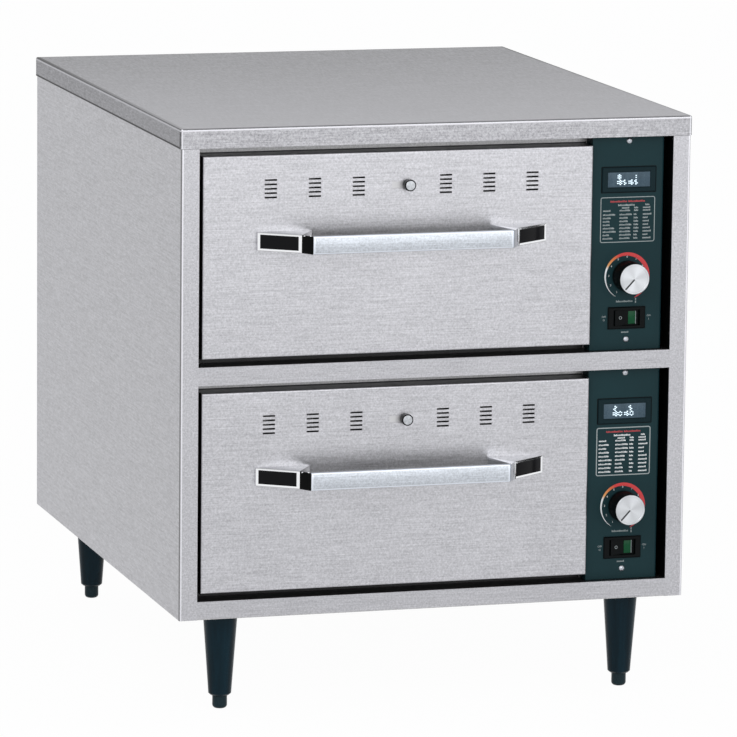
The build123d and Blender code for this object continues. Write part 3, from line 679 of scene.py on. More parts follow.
def copies_tree():
    """Puts a copy of one shape on every point, all turned alike."""
    geo = Geo("copies_on_points", [
        ("Shape", "NodeSocketObject", None), ("Turn", "NodeSocketVector", (0, 0, 0)),
        ("Size", "NodeSocketFloat", 1.0), ("Finish", "NodeSocketMaterial", None)])
    shape = geo.node("GeometryNodeObjectInfo", None, {"Object": geo.given.outputs["Shape"]})
    placed = geo.node("GeometryNodeInstanceOnPoints", None, {
        "Points": geo.given.outputs["Geometry"], "Instance": shape.outputs["Geometry"],
        "Rotation": geo.given.outputs["Turn"], "Scale": geo.given.outputs["Size"]})
    geo.close(placed.outputs[0], geo.given.outputs["Finish"])
    return geo


def table_tree():
    """Rows of printed marks of uneven width, like a small table."""
    geo = Geo("table_marks", [("Shape", "NodeSocketObject", None), ("Columns", "NodeSocketInt", 4),
                              ("Rows", "NodeSocketInt", 9), ("Width", "NodeSocketFloat", 0.04),
                              ("Height", "NodeSocketFloat", 0.03), ("Middle", "NodeSocketVector", (0, 0, 0)),
                              ("Seed", "NodeSocketInt", 1), ("Finish", "NodeSocketMaterial", None)])
    given = geo.given.outputs
    grid = geo.node("GeometryNodeMeshGrid", None, {
        "Size X": given["Width"], "Size Y": given["Height"],
        "Vertices X": given["Columns"], "Vertices Y": given["Rows"]})
    stand = geo.node("GeometryNodeTransform", None, {
        "Geometry": grid.outputs[0], "Rotation": (math.radians(90), 0, 0), "Translation": given["Middle"]})
    wide = geo.node("FunctionNodeRandomValue", {"data_type": "FLOAT"},
                    {"Min": 0.6, "Max": 1.25, "Seed": given["Seed"]})
    width = next(s for s in wide.outputs if s.enabled)
    scale = geo.node("ShaderNodeCombineXYZ", None, {"X": width, "Y": 1.0, "Z": 1.0})
    shape = geo.node("GeometryNodeObjectInfo", None, {"Object": given["Shape"]})
    placed = geo.node("GeometryNodeInstanceOnPoints", None, {
        "Points": stand.outputs[0], "Instance": shape.outputs["Geometry"], "Scale": scale.outputs[0]})
    geo.close(placed.outputs[0], given["Finish"])
    return geo


copies = copies_tree()
printed_table = table_tree()


def template(name, mesh):
    """A shape kept out of the picture, for copying."""
    return bpy.data.objects.new("template_" + name, mesh)


def point_cloud(points):
    """A mesh of loose points."""
    mesh = bpy.data.meshes.new("points")
    mesh.from_pydata([tuple(p) for p in points], [], [])
    return mesh


def plate_mesh(name, width, height, thickness):
    """A small flat mark, its back on the plane y = 0."""
    bm = bmesh.new()
    add_box(bm, (-width / 2, -thickness, -height / 2), (width / 2, 0, height / 2))
    return to_mesh(bm, name)


# ---- Handles ------------------------------------------------------------------------
BAR_BEVEL = 1.6 * MM
CAP_BEVEL = 0.9 * MM
CAP_FOOT_WALL = 12 * MM
CAP_SHOULDER_IN = 42 * MM
CAP_SHOULDER_DEPTH = 33.5 * MM
CAP_END_DEPTH = 4.5 * MM
NOSE_RADIUS = 9 * MM
INSET_RIM = 2.3 * MM
INSET_DEPTH = 1.0 * MM
PIN_RADIUS = 1.1 * MM
PIN_FROM_NOSE = ((2.0 * MM, 3.2 * MM), (8.5 * MM, 5.5 * MM))


def bar_steel(level):
    """The bar's brushed steel, with painted highlights along its front edges and ends and painted shade on
    its back.
    """
    low, high, middle = span(level + "_handle_bar")
    half = (high - low) / 2

    # Painted highlights along the bar's rolled front edges and ends.
    def edges(paint):
        tall = rise(paint.from_middle("Z", middle.z), half.z - 1.9 * MM, half.z - 1.2 * MM)
        ends = rise(paint.from_middle("X", middle.x), half.x - 3.2 * MM, half.x - 1.5 * MM)
        near = 1 - rise(paint.along("Y"), low.y + 0.6 * MM, low.y + 1.6 * MM)
        return tall.most(ends) * near

    # Painted shade on the bar's back.
    def back(paint):
        return rise(paint.along("Y"), low.y + 2.2 * MM, low.y + 3.4 * MM)

    return brushed(level + "_bar_steel", (0.50, 0.53, 0.575), "X", 0.30, painted_shade=back, rubbed_and_lit=edges,
                   painted_shade_tone=0.04, rubbed_and_lit_tone=1.5)


def make_bar(level):
    """The flat brushed bar with rolled edges."""
    name = level + "_grip_bar"
    bm = bmesh.new()
    add_box(bm, *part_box(level + "_handle_bar"))
    mesh = bevelled(bm, name, BAR_BEVEL, 4)
    piece(name, mesh, level + "_drawer", "satin_steel", bar_steel(level), [level + "_handle_bar"])


def rounded_corner(before, corner, after, radius, steps=8):
    """Points of the arc that rounds a corner of an outline."""
    a = (before - corner).normalized()
    b = (after - corner).normalized()
    half = a.angle(b) / 2
    reach = radius / math.tan(half)
    centre = corner + (a + b).normalized() * (radius / math.sin(half))
    start = corner + a * reach - centre
    end = corner + b * reach - centre
    swing = start.angle_signed(end)
    points = []
    for i in range(steps + 1):
        points.append(centre + Matrix.Rotation(-swing * i / steps, 2) @ start)
    return points


def cap_outlines(level, side):
    """Seen from above: the plated wedge of one end cap, and the nose between it and the bar."""
    low, high, centre = span(level + "_handle_ends")
    bar_low, bar_high, _ = span(level + "_handle_bar")
    outer = (high.x - low.x) / 2
    bar_end = (bar_high.x - bar_low.x) / 2
    base = high.y

    def at(x, y):
        return Vector((centre.x + side * x, y))

    foot = at(outer, base)
    end = at(outer, base - CAP_END_DEPTH)
    shoulder = at(outer - CAP_SHOULDER_IN, base - CAP_SHOULDER_DEPTH)
    nose = at(bar_end, low.y)
    inner = at(bar_end, bar_high.y)
    inner_foot = at(bar_end - CAP_FOOT_WALL, base)
    turn = rounded_corner(end, shoulder, nose, NOSE_RADIUS)
    half = len(turn) // 2
    wedge = [foot, end] + turn[:half + 1] + [inner_foot]
    tip = turn[half:] + [nose, inner, inner_foot]
    return wedge, tip


def make_caps(level):
    """End caps: a plated wedge with a black plate let into its slanted face, and a nose."""
    low, high, middle = span(level + "_handle_ends")
    wedges = bmesh.new()
    tips = bmesh.new()
    plates = bmesh.new()
    pins = []
    for side in SIDES:
        wedge, tip = cap_outlines(level, side)
        pins += pin_places(tip, side, high.z)
        if side > 0:
            wedge.reverse()
            tip.reverse()
        walls = add_prism(wedges, [tuple(p) for p in wedge], low.z, high.z)
        add_prism(tips, [tuple(p) for p in tip], low.z, high.z)
        wedges.normal_update()
        slanted = max(walls, key=lambda f: abs(f.normal.x * f.normal.y) * f.calc_area())
        normal = slanted.normal.copy()
        bmesh.ops.inset_region(wedges, faces=[slanted], thickness=INSET_RIM, use_even_offset=True)
        bmesh.ops.translate(wedges, vec=-normal * INSET_DEPTH, verts=list(slanted.verts))
        add_plate(plates, slanted, normal)

    # Painted dark reflection on the caps' top and bottom faces.
    def top_and_bottom_shade(paint):
        half = (high.z - low.z) / 2
        return rise(paint.from_middle("Z", middle.z), half - 0.75 * MM, half - 0.35 * MM)

    # The left nose is painted near black as a dark reflection; the right one keeps bright plating.
    def left_nose_shade(paint):
        return 1 - rise(paint.along("X"), middle.x - 10 * MM, middle.x + 10 * MM)

    drawer = level + "_drawer"
    plating = polished(level + "_cap_plating", (0.90, 0.91, 0.93), painted_shade=top_and_bottom_shade)
    mesh = bevelled(wedges, level + "_grip_caps", CAP_BEVEL, 3, 24)
    piece(level + "_grip_caps", mesh, drawer, "chrome", plating, [level + "_handle_ends"])
    plating = polished(level + "_nose_plating", (0.80, 0.82, 0.85), painted_shade=left_nose_shade, painted_shade_tone=0.008)
    mesh = bevelled(tips, level + "_grip_noses", CAP_BEVEL, 3, 24)
    piece(level + "_grip_noses", mesh, drawer, "chrome", plating)
    solid(level + "_grip_plates", plates, drawer, "black_plastic", glossy_black)
    dots = copies.run(level + "_grip_pins", point_cloud(pins), Shape=pin_template, Finish=chrome)
    piece(level + "_grip_pins", shade_by_angle(dots), drawer, "chrome")


def add_plate(bm, face, normal):
    """A thin plate with softened edges that fills the recess in a slanted face."""
    inner = [v.co.copy() for v in face.verts]
    middle = sum(inner, Vector()) / len(inner)
    floor = [p + (middle - p) * 0.02 for p in inner]
    top = [p + normal * (INSET_DEPTH * 0.55) for p in floor]
    rim = [p + (middle - p) * 0.03 + normal * (INSET_DEPTH * 0.25) for p in top]
    rows = [[bm.verts.new(p) for p in row] for row in (floor, top, rim)]
    for lower, upper in zip(rows, rows[1:]):
        for i in range(4):
            j = (i + 1) % 4
            bm.faces.new((lower[i], lower[j], upper[j], upper[i]))
    bm.faces.new(list(reversed(rows[0])))
    bm.faces.new(rows[-1])


def pin_places(tip, side, top):
    """Two pins on a cap's nose, near its front edge."""
    front = min(p.y for p in tip)
    nose = next(p for p in tip if abs(p.y - front) < 1e-6)
    return [Vector((nose.x + side * reach, nose.y + depth, top)) for reach, depth in PIN_FROM_NOSE]


def dome_mesh(name, radius, height, steps=16, rings=4):
    """A small domed head that stands on z = 0."""
    bm = bmesh.new()
    rows = []
    around = [2 * math.pi * i / steps for i in range(steps)]
    for k in range(rings):
        turn = math.pi / 2 * k / rings
        wide = radius * math.cos(turn)
        level = height * math.sin(turn)
        rows.append([bm.verts.new((wide * math.cos(a), wide * math.sin(a), level)) for a in around])
    crown = bm.verts.new((0, 0, height))
    for lower, upper in zip(rows, rows[1:]):
        for i in range(steps):
            bm.faces.new((lower[i], lower[(i + 1) % steps], upper[(i + 1) % steps], upper[i]))
    for i in range(steps):
        bm.faces.new((rows[-1][i], rows[-1][(i + 1) % steps], crown))
    bm.faces.new(list(reversed(rows[0])))
    return to_mesh(bm, name, True)


pin_template = template("pin", dome_mesh("pin", PIN_RADIUS, 0.8 * MM))


# ---- Dial knobs and vent knobs -------------------------------------------------------
KNOB_STEPS = 96
KNOB_SKIRT = 26 * MM
POINTER_REST = 223
POINTER_WIDTH = 1.7 * MM


def make_knob(level):
    """A black knob with its shaft, a spun metal face and a pointer line."""
    front, shaft_end, radius, centre = round_span(level + "_knob")
    back = front + KNOB_SKIRT
    dial = level + "_dial"
    bm = bmesh.new()
    profile = [(radius - 1.6 * MM, front + 0.8 * MM), (radius - 0.35 * MM, front + 0.8 * MM),
               (radius - 0.1 * MM, front + 1.2 * MM), (radius - 0.1 * MM, back - 3 * MM),
               (radius, back - 2.6 * MM), (radius, back),
               (radius - 4 * MM, back), (radius - 4.2 * MM, back - 1 * MM)]
    add_turned(bm, centre, profile, KNOB_STEPS)
    add_turned(bm, centre, [(3 * MM, back - 2 * MM), (3 * MM, shaft_end)], 24)
    solid(level + "_dial_body", bm, dial, "black_plastic", black_plastic, [level + "_knob"])

    bm = bmesh.new()
    rim = radius - 0.5 * MM
    face = [(rim - 2.4 * MM, front + 0.35 * MM), (rim - 2.0 * MM, front), (rim - 0.5 * MM, front),
            (rim, front + 0.5 * MM), (rim, front + 1.0 * MM)]
    add_turned(bm, centre, [(0.5 * MM, front + 0.35 * MM)] + face, KNOB_STEPS)
    spun = spun_metal(level + "_spun_face", (0.64, 0.66, 0.69), centre)
    solid(level + "_dial_face", bm, dial, "chrome", spun)

    half = POINTER_WIDTH / 2
    bm = bmesh.new()
    tip = radius - 1.6 * MM
    add_box(bm, (-half, front - 0.02 * MM, 0.4 * MM), (half, front + 0.40 * MM, tip), 0.1 * MM, 2)
    turn = Matrix.Rotation(math.radians(POINTER_REST), 4, "Y")
    bmesh.ops.transform(bm, matrix=Matrix.Translation(centre) @ turn, verts=bm.verts)
    mesh = to_mesh(bm, level + "_dial_pointer")
    piece(level + "_dial_pointer", mesh, dial, "black_plastic", pointer_ink)


def make_vent_grip(level):
    """The vent slider's round knob: black side, bright face, and its stem."""
    front, stem_end, radius, centre = round_span(level + "_vent_knob")
    vent = level + "_vent"
    bm = bmesh.new()
    profile = [(radius - 1.4 * MM, front + 0.4 * MM), (radius - 0.5 * MM, front + 0.5 * MM),
               (radius, front + 1.0 * MM), (radius, front + 6.4 * MM), (radius - 1.2 * MM, front + 8 * MM)]
    add_turned(bm, centre, profile, 48)
    add_turned(bm, centre, [(3 * MM, front + 7 * MM), (3 * MM, stem_end)], 24)
    solid(level + "_vent_grip", bm, vent, "black_plastic", glossy_black, [level + "_vent_knob"])
    bm = bmesh.new()
    cap = radius - 1.0 * MM
    add_turned(bm, centre, [(0.4 * MM, front), (cap - 0.6 * MM, front + 0.15 * MM), (cap, front + 0.6 * MM),
                            (cap, front + 1.2 * MM)], 48)
    spun = spun_metal(level + "_vent_face", (0.52, 0.54, 0.57), centre)
    solid(level + "_vent_cap", bm, vent, "chrome", spun)


# ---- Control panel print --------------------------------------------------------------
PRINT = 0.08 * MM
BAND_OUTER = 26.5 * MM
BAND_THIN = 1.2 * MM
BAND_THICK = 4.6 * MM
BAND_START = -150
BAND_END = 160
NUMBER_START = -147
NUMBER_STEP = 29.3
NUMBER_CIRCLE = 21.6 * MM
CHART_WIDTH = 64 * MM
CHART_CORNER = 2.5 * MM


def panel_front(level):
    """The panel's front plane."""
    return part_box(level + "_control_panel")[0].y


def band_mesh(level, centre):
    """The dial's band, thin at its start and swelling clockwise."""
    y = panel_front(level)
    steps = 100
    bm = bmesh.new()
    rows = []
    for i in range(steps + 1):
        share = i / steps
        turn = math.radians(BAND_START + (BAND_END - BAND_START) * share)
        swell = max(0.0, min(1.0, (share - 0.12) / 0.5))
        width = BAND_THIN + (BAND_THICK - BAND_THIN) * swell
        width *= min(1.0, 0.15 + 6 * share) * min(1.0, 0.1 + 7 * (1 - share))
        outward = Vector((math.sin(turn), 0, math.cos(turn)))
        inner = centre + outward * (BAND_OUTER - width)
        outer = centre + outward * BAND_OUTER
        rows.append([bm.verts.new((p.x, depth, p.z)) for p in (inner, outer) for depth in (y, y - PRINT)])
    for a, b in zip(rows, rows[1:]):
        for m, n in ((0, 1), (1, 3), (3, 2), (2, 0)):
            bm.faces.new((a[m], a[n], b[n], b[m]))
    bm.faces.new((rows[0][0], rows[0][2], rows[0][3], rows[0][1]))
    bm.faces.new((rows[-1][0], rows[-1][1], rows[-1][3], rows[-1][2]))
    return to_mesh(bm, level + "_dial_band")


def frame_outline(width, height, radius, steps=6):
    """Points of a rounded rectangle in (x, z), round its middle."""
    points = []
    for sx, sz, start in ((1, 1, 0), (-1, 1, 90), (-1, -1, 180), (1, -1, 270)):
        middle = (sx * (width / 2 - radius), sz * (height / 2 - radius))
        points += arc(middle, radius, start, start + 90, steps)
    return points


def frame_mesh(name, centre, width, height, line, corner, y):
    """A printed rounded frame."""
    outer = frame_outline(width, height, corner)
    inner = frame_outline(width - 2 * line, height - 2 * line, corner - line)
    bm = bmesh.new()
    rings = []
    for outline in (outer, inner):
        for depth in (y, y - PRINT):
            rings.append([bm.verts.new((centre.x + x, depth, centre.z + z)) for x, z in outline])
    outer_back, outer_front, inner_back, inner_front = rings
    count = len(outer)
    for i in range(count):
        j = (i + 1) % count
        for a, b in ((outer_back, outer_front), (outer_front, inner_front), (inner_front, inner_back),
                     (inner_back, outer_back)):
            bm.faces.new((a[i], a[j], b[j], b[i]))
    return to_mesh(bm, name)


def label(words, size, place=Vector(), y=0.0):
    """Raised print of a number or a word, its back on a plane, centred on a place on the front."""
    curve = bpy.data.curves.new("print", "FONT")
    curve.body = words
    curve.size = size
    curve.align_x = "CENTER"
    curve.align_y = "CENTER"
    curve.extrude = PRINT / 2
    curve.resolution_u = 3
    holder = placed("print_work", curve)
    mesh = baked(holder)
    bpy.data.objects.remove(holder)
    upright = Matrix.Rotation(math.pi / 2, 4, "X")
    mesh.transform(Matrix.Translation((place.x, y - PRINT / 2, place.z)) @ upright)
    return mesh


def joined(name, meshes):
    """One mesh of several."""
    bm = bmesh.new()
    for mesh in meshes:
        bm.from_mesh(mesh)
    whole = bpy.data.meshes.new(name)
    bm.to_mesh(whole)
    bm.free()
    return whole


def word_mesh(name, letters, pitch, height):
    """A word-like row of small upright strokes of uneven height, which starts at the origin."""
    rng = random.Random(letters * 7 + 1)
    bm = bmesh.new()
    for i in range(letters):
        x = (i + 0.5) * pitch
        low = -height / 2
        high = height * rng.choice((0.22, 0.28, 0.5))
        half = pitch * rng.choice((0.30, 0.36, 0.40))
        add_box(bm, (x - half, -PRINT, low), (x + half, 0, high))
    return to_mesh(bm, name)


def words_at(name, word, points, finish):
    """One word-like mark on each place."""
    return copies.run(name, point_cloud(points), Shape=word, Finish=finish)


LETTER = 1.25 * MM
LETTER_HEIGHT = 1.9 * MM
short_word = template("short_word", word_mesh("short_word", 4, LETTER, LETTER_HEIGHT))
middle_word = template("middle_word", word_mesh("middle_word", 7, LETTER, LETTER_HEIGHT))
long_word = template("long_word", word_mesh("long_word", 10, LETTER, LETTER_HEIGHT))
tick_mark = template("tick_mark", plate_mesh("tick_mark", 1.3 * MM, 2.4 * MM, PRINT))
title_word = template("title_word", word_mesh("title_word", 15, LETTER * 1.05, LETTER_HEIGHT * 1.1))


def make_dial_print(level):
    """Band and numbers round the dial knob."""
    centre = round_span(level + "_knob")[3]
    y = panel_front(level)
    piece(level + "_dial_band", band_mesh(level, centre), "cabinet", "panel_face",
          heat_scale_ink(level + "_heat_scale", centre))
    numbers = []
    for i in range(10):
        turn = math.radians(NUMBER_START + NUMBER_STEP * i)
        place = centre + Vector((math.sin(turn), 0, math.cos(turn))) * NUMBER_CIRCLE
        numbers.append(label(str(i + 1), 3.2 * MM, place, y))
    mesh = joined(level + "_dial_numbers", numbers)
    piece(level + "_dial_numbers", mesh, "cabinet", "panel_face", white_ink)


CHART_TITLE_DROP = 4.9 * MM
CHART_ROWS_DROP = 19.7 * MM
CHART_FOOT = 4.6 * MM
# Places in mm from the frame's top left corner, with the word-like mark at each.
CHART_COLUMNS = ((2.9, "long"), (22.4, "long"), (39.0, "short"), (49.8, "middle"))
CHART_HEADER = ((20.5, 9.1, "title"), (52.5, 9.1, "short"),
                (25.0, 12.2, "middle"), (39.3, 12.2, "short"), (49.8, 12.2, "middle"),
                (2.9, 15.2, "middle"), (22.4, 15.2, "long"), (39.3, 15.2, "short"), (49.8, 15.2, "middle"))
WORDS = {"short": short_word, "middle": middle_word, "long": long_word, "title": title_word}


def make_chart(level, height, drop, line, finish):
    """A framed table of plain word-like marks between the display and the dial."""
    display_low, _, middle = span(level + "_display")
    y = panel_front(level)
    centre = Vector((middle.x - 0.6 * MM, y, display_low.z - drop - height / 2))
    left = centre.x - CHART_WIDTH / 2
    top = centre.z + height / 2
    ring = frame_mesh(level + "_chart_frame", centre, CHART_WIDTH, height, line, CHART_CORNER, y)
    piece(level + "_chart_frame", ring, "cabinet", "panel_face", grey_ink)
    title = [Vector((centre.x + shift, y, top - CHART_TITLE_DROP)) for shift in (-20.6 * MM, 0.4 * MM)]
    mesh = words_at(level + "_chart_title", title_word, title, red_ink)
    piece(level + "_chart_title", mesh, "cabinet", "panel_face")
    rows_height = height - CHART_ROWS_DROP - CHART_FOOT
    marks = []
    for number, (x, size) in enumerate(CHART_COLUMNS):
        marks.append(printed_table.run(
            level + "_chart_column", point_cloud([]), Shape=WORDS[size], Columns=1, Rows=8, Width=0.0,
            Height=rows_height, Middle=(left + x * MM, y, top - CHART_ROWS_DROP - rows_height / 2),
            Seed=LEVELS.index(level) * 9 + number, Finish=finish))
    for size, word in WORDS.items():
        places = [Vector((left + x * MM, y, top - z * MM)) for x, z, wanted in CHART_HEADER if wanted == size]
        marks.append(words_at(level + "_chart_header", word, places, finish))
    piece(level + "_chart_marks", joined(level + "_chart_marks", marks), "cabinet", "panel_face", finish)


def make_captions(level):
    """Word-like marks under the dial and the switch, and the words beside the switch."""
    switch_low, switch_high, switch = span(level + "_switch_body")
    dial = span(level + "_knob")[2]
    y = panel_front(level)
    under_dial = Vector((switch.x - 12.6 * MM, y, dial.z - 28.6 * MM))
    under_switch = Vector((switch.x - 5.9 * MM, y, switch_low.z - 3.6 * MM))
    beside = [Vector((switch.x + 10.6 * MM, y, dial.z + z)) for z in (-26.4 * MM, -29.6 * MM)]
    marks = [
        words_at(level + "_caption", title_word, [under_dial], faint_ink),
        words_at(level + "_caption", middle_word, [under_switch], faint_ink),
        words_at(level + "_caption", tick_mark, beside, faint_ink),
    ]
    mesh = joined(level + "_captions", marks)
    piece(level + "_captions", mesh, "cabinet", "panel_face", faint_ink)
    words = []
    for side, word, sign in ((-1, "OFF", "O"), (1, "ON", "I")):
        x = switch.x + side * ((switch_high.x - switch_low.x) / 2 + 4.4 * MM)
        words.append(label(word, 2.9 * MM, Vector((x, 0, switch.z + 1.6 * MM)), y))
        words.append(label(sign, 3.0 * MM, Vector((x, 0, switch.z - 2.2 * MM)), y))
    mesh = joined(level + "_switch_words", words)
    piece(level + "_switch_words", mesh, "cabinet", "panel_face", grey_ink)


# ---- Display ------------------------------------------------------------------------
GLASS = (49.6 * MM, 16.6 * MM)
DIGIT = (3.2 * MM, 4.4 * MM)
STROKE = 1.3 * MM
DIGIT_PITCH = 4.9 * MM
DISPLAY_SHADE_LINE = 0.9 * MM
SEGMENTS = {"0": "abcdef", "1": "bc", "2": "abdeg", "5": "acdfg", "6": "acdefg", "8": "abcdefg"}
# Figures with their middle's place in mm from the window's.
SHOWN = {"lower": (("180", -10.2, -2.9), ("160", 3.2, -2.9), ("2", -11.4, 3.3), ("5", 6.6, 3.3)),
         "upper": (("185", -10.2, -2.9), ("165", 3.2, -2.9), ("8", -11.4, 3.3), ("1", 6.6, 3.3))}


def segment_boxes():
    """Middle and half size of each of the seven strokes of a digit."""
    half_w = DIGIT[0] / 2
    half_h = DIGIT[1] / 2
    flat = (half_w - STROKE * 0.62, STROKE / 2)
    tall = (STROKE / 2, half_h / 2 - STROKE * 0.42)
    return {
        "a": ((0, half_h), flat), "g": ((0, 0), flat), "d": ((0, -half_h), flat),
        "b": ((half_w, half_h / 2), tall), "c": ((half_w, -half_h / 2), tall),
        "f": ((-half_w, half_h / 2), tall), "e": ((-half_w, -half_h / 2), tall),
    }


def make_display(level):
    """The tinted window, its seven-stroke digits and a black frame of painted shade round the bezel."""
    low, high, middle = span(level + "_display")
    y = low.y + 0.8 * MM
    bm = bmesh.new()
    add_box(bm, (middle.x - GLASS[0] / 2, y - 0.4 * MM, middle.z - GLASS[1] / 2),
            (middle.x + GLASS[0] / 2, y, middle.z + GLASS[1] / 2), 0.2 * MM, 2)
    glass = display_glass(level + "_display_glass")
    solid(level + "_display_window", bm, "cabinet", "display_plastic", glass)
    lit = bmesh.new()
    for figures, x0, z0 in SHOWN[level]:
        for place, figure in enumerate(figures):
            x = middle.x + x0 * MM + (place - (len(figures) - 1) / 2) * DIGIT_PITCH
            z = middle.z + z0 * MM
            for key, ((dx, dz), (half_x, half_z)) in segment_boxes().items():
                if key in SEGMENTS[figure]:
                    add_box(lit, (x + dx - half_x, y - 0.48 * MM, z + dz - half_z),
                            (x + dx + half_x, y - 0.4 * MM, z + dz + half_z))
    mesh = to_mesh(lit, level + "_display_digits")
    piece(level + "_display_digits", mesh, "cabinet", "display_plastic", lit_segment)
    width, _, height = high - low
    # A black frame round the bezel stands in for its shade.
    shade_frame = frame_mesh(level + "_display_gap", middle, width + 2 * DISPLAY_SHADE_LINE, height + 2 * DISPLAY_SHADE_LINE,
                     DISPLAY_SHADE_LINE, 1.2 * MM, panel_front(level))
    piece(level + "_display_gap", shade_frame, "cabinet", "panel_face", black_plastic)


# ---- Switch -------------------------------------------------------------------------
ROCKER_TILT = 9
LENS = (8.6 * MM, 14.6 * MM)
LENS_HIGHLIGHT = 0.7 * MM
ROCKER_SLOPE = math.atan2(1.6, 14.8)


def make_switch(level):
    """The green lens with a pale strip of painted highlight along its edge, and the O, set in the rocker's
    tilted faces.
    """
    middle = span(level + "_rocker")[2]
    pivot = Vector((middle.x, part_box(level + "_switch_body")[0].y + 5 * MM, middle.z))
    turn = Matrix.Translation(pivot) @ Matrix.Rotation(math.radians(ROCKER_TILT), 4, "Z")
    bm = bmesh.new()
    add_box(bm, (-LENS[0] / 2, -0.5 * MM, -LENS[1] / 2), (LENS[0] / 2, 0.3 * MM, LENS[1] / 2), 0.25 * MM, 2)
    lean = Matrix.Translation((6.0 * MM, -2.9 * MM, 0)) @ Matrix.Rotation(-ROCKER_SLOPE, 4, "Z")
    bmesh.ops.transform(bm, matrix=turn @ lean, verts=bm.verts)
    rocker = level + "_rocker"
    solid(level + "_switch_lens", bm, rocker, "black_plastic", green_lens)
    # A pale strip beside the lens, a painted highlight along its edge.
    edge = bmesh.new()
    add_box(edge, (LENS[0] / 2, -0.45 * MM, -LENS[1] / 2), (LENS[0] / 2 + LENS_HIGHLIGHT, 0.3 * MM, LENS[1] / 2))
    bmesh.ops.transform(edge, matrix=turn @ lean, verts=edge.verts)
    piece(level + "_switch_edge", to_mesh(edge, level + "_switch_edge"), rocker, "black_plastic", faint_ink)
    sign = label("O", 5.2 * MM)
    lean = Matrix.Translation((-8.2 * MM, -3.1 * MM, 0)) @ Matrix.Rotation(ROCKER_SLOPE, 4, "Z")
    sign.transform(turn @ lean)
    piece(level + "_switch_sign", sign, rocker, "black_plastic", grey_ink)


# ---- Screws -------------------------------------------------------------------------
HEAD_RADIUS = 3.5 * MM
HEAD_HEIGHT = 2.2 * MM
CROSS = (3.6 * MM, 0.8 * MM)
SCREW_TURN = math.radians(20)


def screw_mesh():
    """A domed screw head facing the front, with a cross recess, on the plane y = 0."""
    dome = dome_mesh("screw", HEAD_RADIUS, HEAD_HEIGHT, 32, 6)
    holder = placed("screw_work", dome)
    cutters = []
    for turn in (0, 90):
        bm = bmesh.new()
        half = (CROSS[0] / 2, CROSS[1] / 2)
        add_box(bm, (-half[0], -half[1], HEAD_HEIGHT * 0.45), (*half, HEAD_HEIGHT * 2))
        across = Matrix.Rotation(math.radians(turn), 3, "Z")
        bmesh.ops.rotate(bm, cent=(0, 0, 0), matrix=across, verts=bm.verts)
        cutter = placed("cross_work", to_mesh(bm, "cross"))
        cutters.append(cutter)
        modifier = holder.modifiers.new("cross", "BOOLEAN")
        modifier.object = cutter
        modifier.solver = "EXACT"
    mesh = baked(holder)
    for made in cutters + [holder]:
        bpy.data.objects.remove(made)
    mesh.transform(Matrix.Rotation(math.pi / 2, 4, "X"))
    return shade_by_angle(mesh)


def screw_places():
    """Where the CAD screws have their heads: on the panels' fronts and on the back."""
    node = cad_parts["screws"].data
    bm = bmesh.new()
    bm.from_mesh(node)
    bmesh.ops.remove_doubles(bm, verts=bm.verts, dist=1e-6)
    front, back = [], []
    seen = set()
    for vert in bm.verts:
        if vert in seen:
            continue
        stack, island = [vert], []
        seen.add(vert)
        while stack:
            at = stack.pop()
            island.append(at.co.copy())
            for edge in at.link_edges:
                other = edge.other_vert(at)
                if other not in seen:
                    seen.add(other)
                    stack.append(other)
        low = Vector([min(p[k] for p in island) for k in range(3)])
        high = Vector([max(p[k] for p in island) for k in range(3)])
        middle = (low + high) / 2
        if middle.y < 0:
            front.append(Vector((middle.x, low.y + HEAD_HEIGHT, middle.z)))
        else:
            back.append(Vector((middle.x, high.y - HEAD_HEIGHT, middle.z)))
    bm.free()
    return front, back


def make_screws():
    """Cross-head screws on the control panels and the back."""
    shape = template("screw", screw_mesh())
    front, back = screw_places()
    heads = [
        copies.run("screws_front", point_cloud(front), Shape=shape, Turn=(0, SCREW_TURN, 0), Finish=zinc),
        copies.run("screws_back", point_cloud(back), Shape=shape, Turn=(0, 0, math.pi), Finish=zinc),
    ]
    piece("screw_heads", joined("screw_heads", heads), "cabinet", "slide_steel", zinc, ["screws"])


# The chart's height, its drop below the display, its line's width and its ink.
CHARTS = {
    "lower": (55 * MM, 4.5 * MM, 1.1 * MM, white_ink),
    "upper": (51 * MM, 5.5 * MM, 0.8 * MM, grey_ink),
}

for level in LEVELS:
    make_bar(level)
    make_caps(level)
    make_knob(level)
    make_vent_grip(level)
    make_dial_print(level)
    make_chart(level, *CHARTS[level])
    make_captions(level)
    make_display(level)
    make_switch(level)
make_screws()


# ---- Floor, light and camera ---------------------------------------------------------
FLOOR_REACH = 60
FLOOR_GLOW = 0.97
FLOOR_PAPER = (0.97, 0.97, 0.97, 1)
BACKGROUND = (1.0, 1.0, 1.0, 1)
ROOM_COLOUR = (0.86, 0.88, 0.92, 1)
ROOM_LEVEL = 0.75


def seen_directly(tree):
    """1 for rays that show the background: from the camera, or by gloss or glass."""
    path = tree.nodes.new("ShaderNodeLightPath")
    total = path.outputs["Is Camera Ray"]
    for key in ("Is Glossy Ray", "Is Transmission Ray"):
        values = {0: total, 1: path.outputs[key]}
        total = add_node(tree, "ShaderNodeMath", {"operation": "MAXIMUM"}, values).outputs[0]
    return total


def end_tree(tree, kind, share, first, second):
    """Mixes two shaders by a share and feeds the tree's output."""
    values = {0: share, 1: first.outputs[0], 2: second.outputs[0]}
    mixed = add_node(tree, "ShaderNodeMixShader", None, values)
    add_node(tree, kind, None, {"Surface": mixed.outputs[0]})


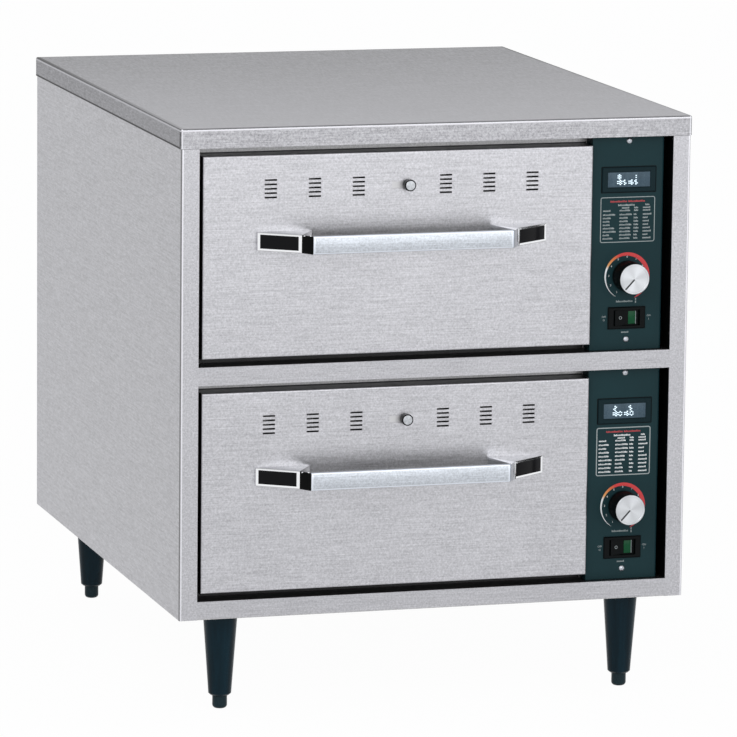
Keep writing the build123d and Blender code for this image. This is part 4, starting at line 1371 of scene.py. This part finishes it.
def make_floor():
    """A pale floor that keeps a faint shadow."""
    bm = bmesh.new()
    corners = [(-1, -1), (1, -1), (1, 1), (-1, 1)]
    bm.faces.new([bm.verts.new((x * FLOOR_REACH, y * FLOOR_REACH, 0)) for x, y in corners])
    mesh = bpy.data.meshes.new("floor")
    bm.to_mesh(mesh)
    bm.free()
    floor = placed("floor", mesh)
    material = bpy.data.materials.new("floor_paper")
    material.use_nodes = True
    tree = material.node_tree
    tree.nodes.clear()
    paper = add_node(tree, "ShaderNodeBsdfDiffuse", None, {"Color": FLOOR_PAPER})
    glow = add_node(tree, "ShaderNodeEmission", None, {"Color": BACKGROUND, "Strength": 1.0})
    values = {0: seen_directly(tree), 1: FLOOR_GLOW}
    share = add_node(tree, "ShaderNodeMath", {"operation": "MULTIPLY"}, values)
    end_tree(tree, "ShaderNodeOutputMaterial", share.outputs[0], paper, glow)
    mesh.materials.append(material)


def make_world():
    """A white backdrop that lights the object at a plain level."""
    world = bpy.data.worlds.new("studio")
    bpy.context.scene.world = world
    world.use_nodes = True
    tree = world.node_tree
    tree.nodes.clear()
    room = add_node(tree, "ShaderNodeBackground", None, {"Color": ROOM_COLOUR, "Strength": ROOM_LEVEL})
    backdrop = add_node(tree, "ShaderNodeBackground", None, {"Color": BACKGROUND})
    end_tree(tree, "ShaderNodeOutputWorld", seen_directly(tree), room, backdrop)


def add_lamp(name, place, aim, size, power):
    """A soft rectangular lamp."""
    data = bpy.data.lights.new(name, "AREA")
    data.shape = "RECTANGLE"
    data.size, data.size_y = size
    data.energy = power
    lamp = placed(name, data)
    lamp.location = place
    lamp.visible_camera = False
    lamp.rotation_euler = (Vector(aim) - Vector(place)).to_track_quat("-Z", "Y").to_euler()


# Angles in degrees. The focal length is in pixels of the picture.
CAMERA_YAW = 16.645
CAMERA_PITCH = 9.817
CAMERA_ROLL = 0.634
PICTURE_WIDTH = 737
FOCAL_LENGTH = 5606.8
SENSOR_WIDTH = 36
CAMERA_FROM_LID = Vector((-1.8218, -5.8301, 0.7818))


def make_camera():
    """The camera of the reference view, placed from the front edge of the lid's top."""
    yaw, pitch, roll = (math.radians(a) for a in (CAMERA_YAW, CAMERA_PITCH, CAMERA_ROLL))
    forward = Vector((math.sin(yaw) * math.cos(pitch), math.cos(yaw) * math.cos(pitch), -math.sin(pitch)))
    right = Vector((math.cos(yaw), -math.sin(yaw), 0))
    up = right.cross(forward)
    rolled_right = right * math.cos(roll) + up * math.sin(roll)
    rolled_up = up * math.cos(roll) - right * math.sin(roll)
    data = bpy.data.cameras.new("camera")
    data.sensor_width = SENSOR_WIDTH
    data.lens = SENSOR_WIDTH * FOCAL_LENGTH / PICTURE_WIDTH
    data.clip_end = 200
    camera = placed("camera", data)
    turn = Matrix((rolled_right, rolled_up, -forward)).transposed()
    place = CAMERA_FROM_LID + Vector((0, face_y, lid_high.z))
    camera.matrix_world = Matrix.Translation(place) @ turn.to_4x4()
    bpy.context.scene.camera = camera


make_floor()
make_world()
add_lamp("key", (-1.6, -3.2, 2.6), (0, 0, 0.35), (2.4, 1.8), 30)
add_lamp("low_front", (1.8, -6.0, 1.6), (0, 0, 0.40), (5.0, 3.0), 70)
make_camera()
bpy.context.scene.view_settings.view_transform = "Standard"
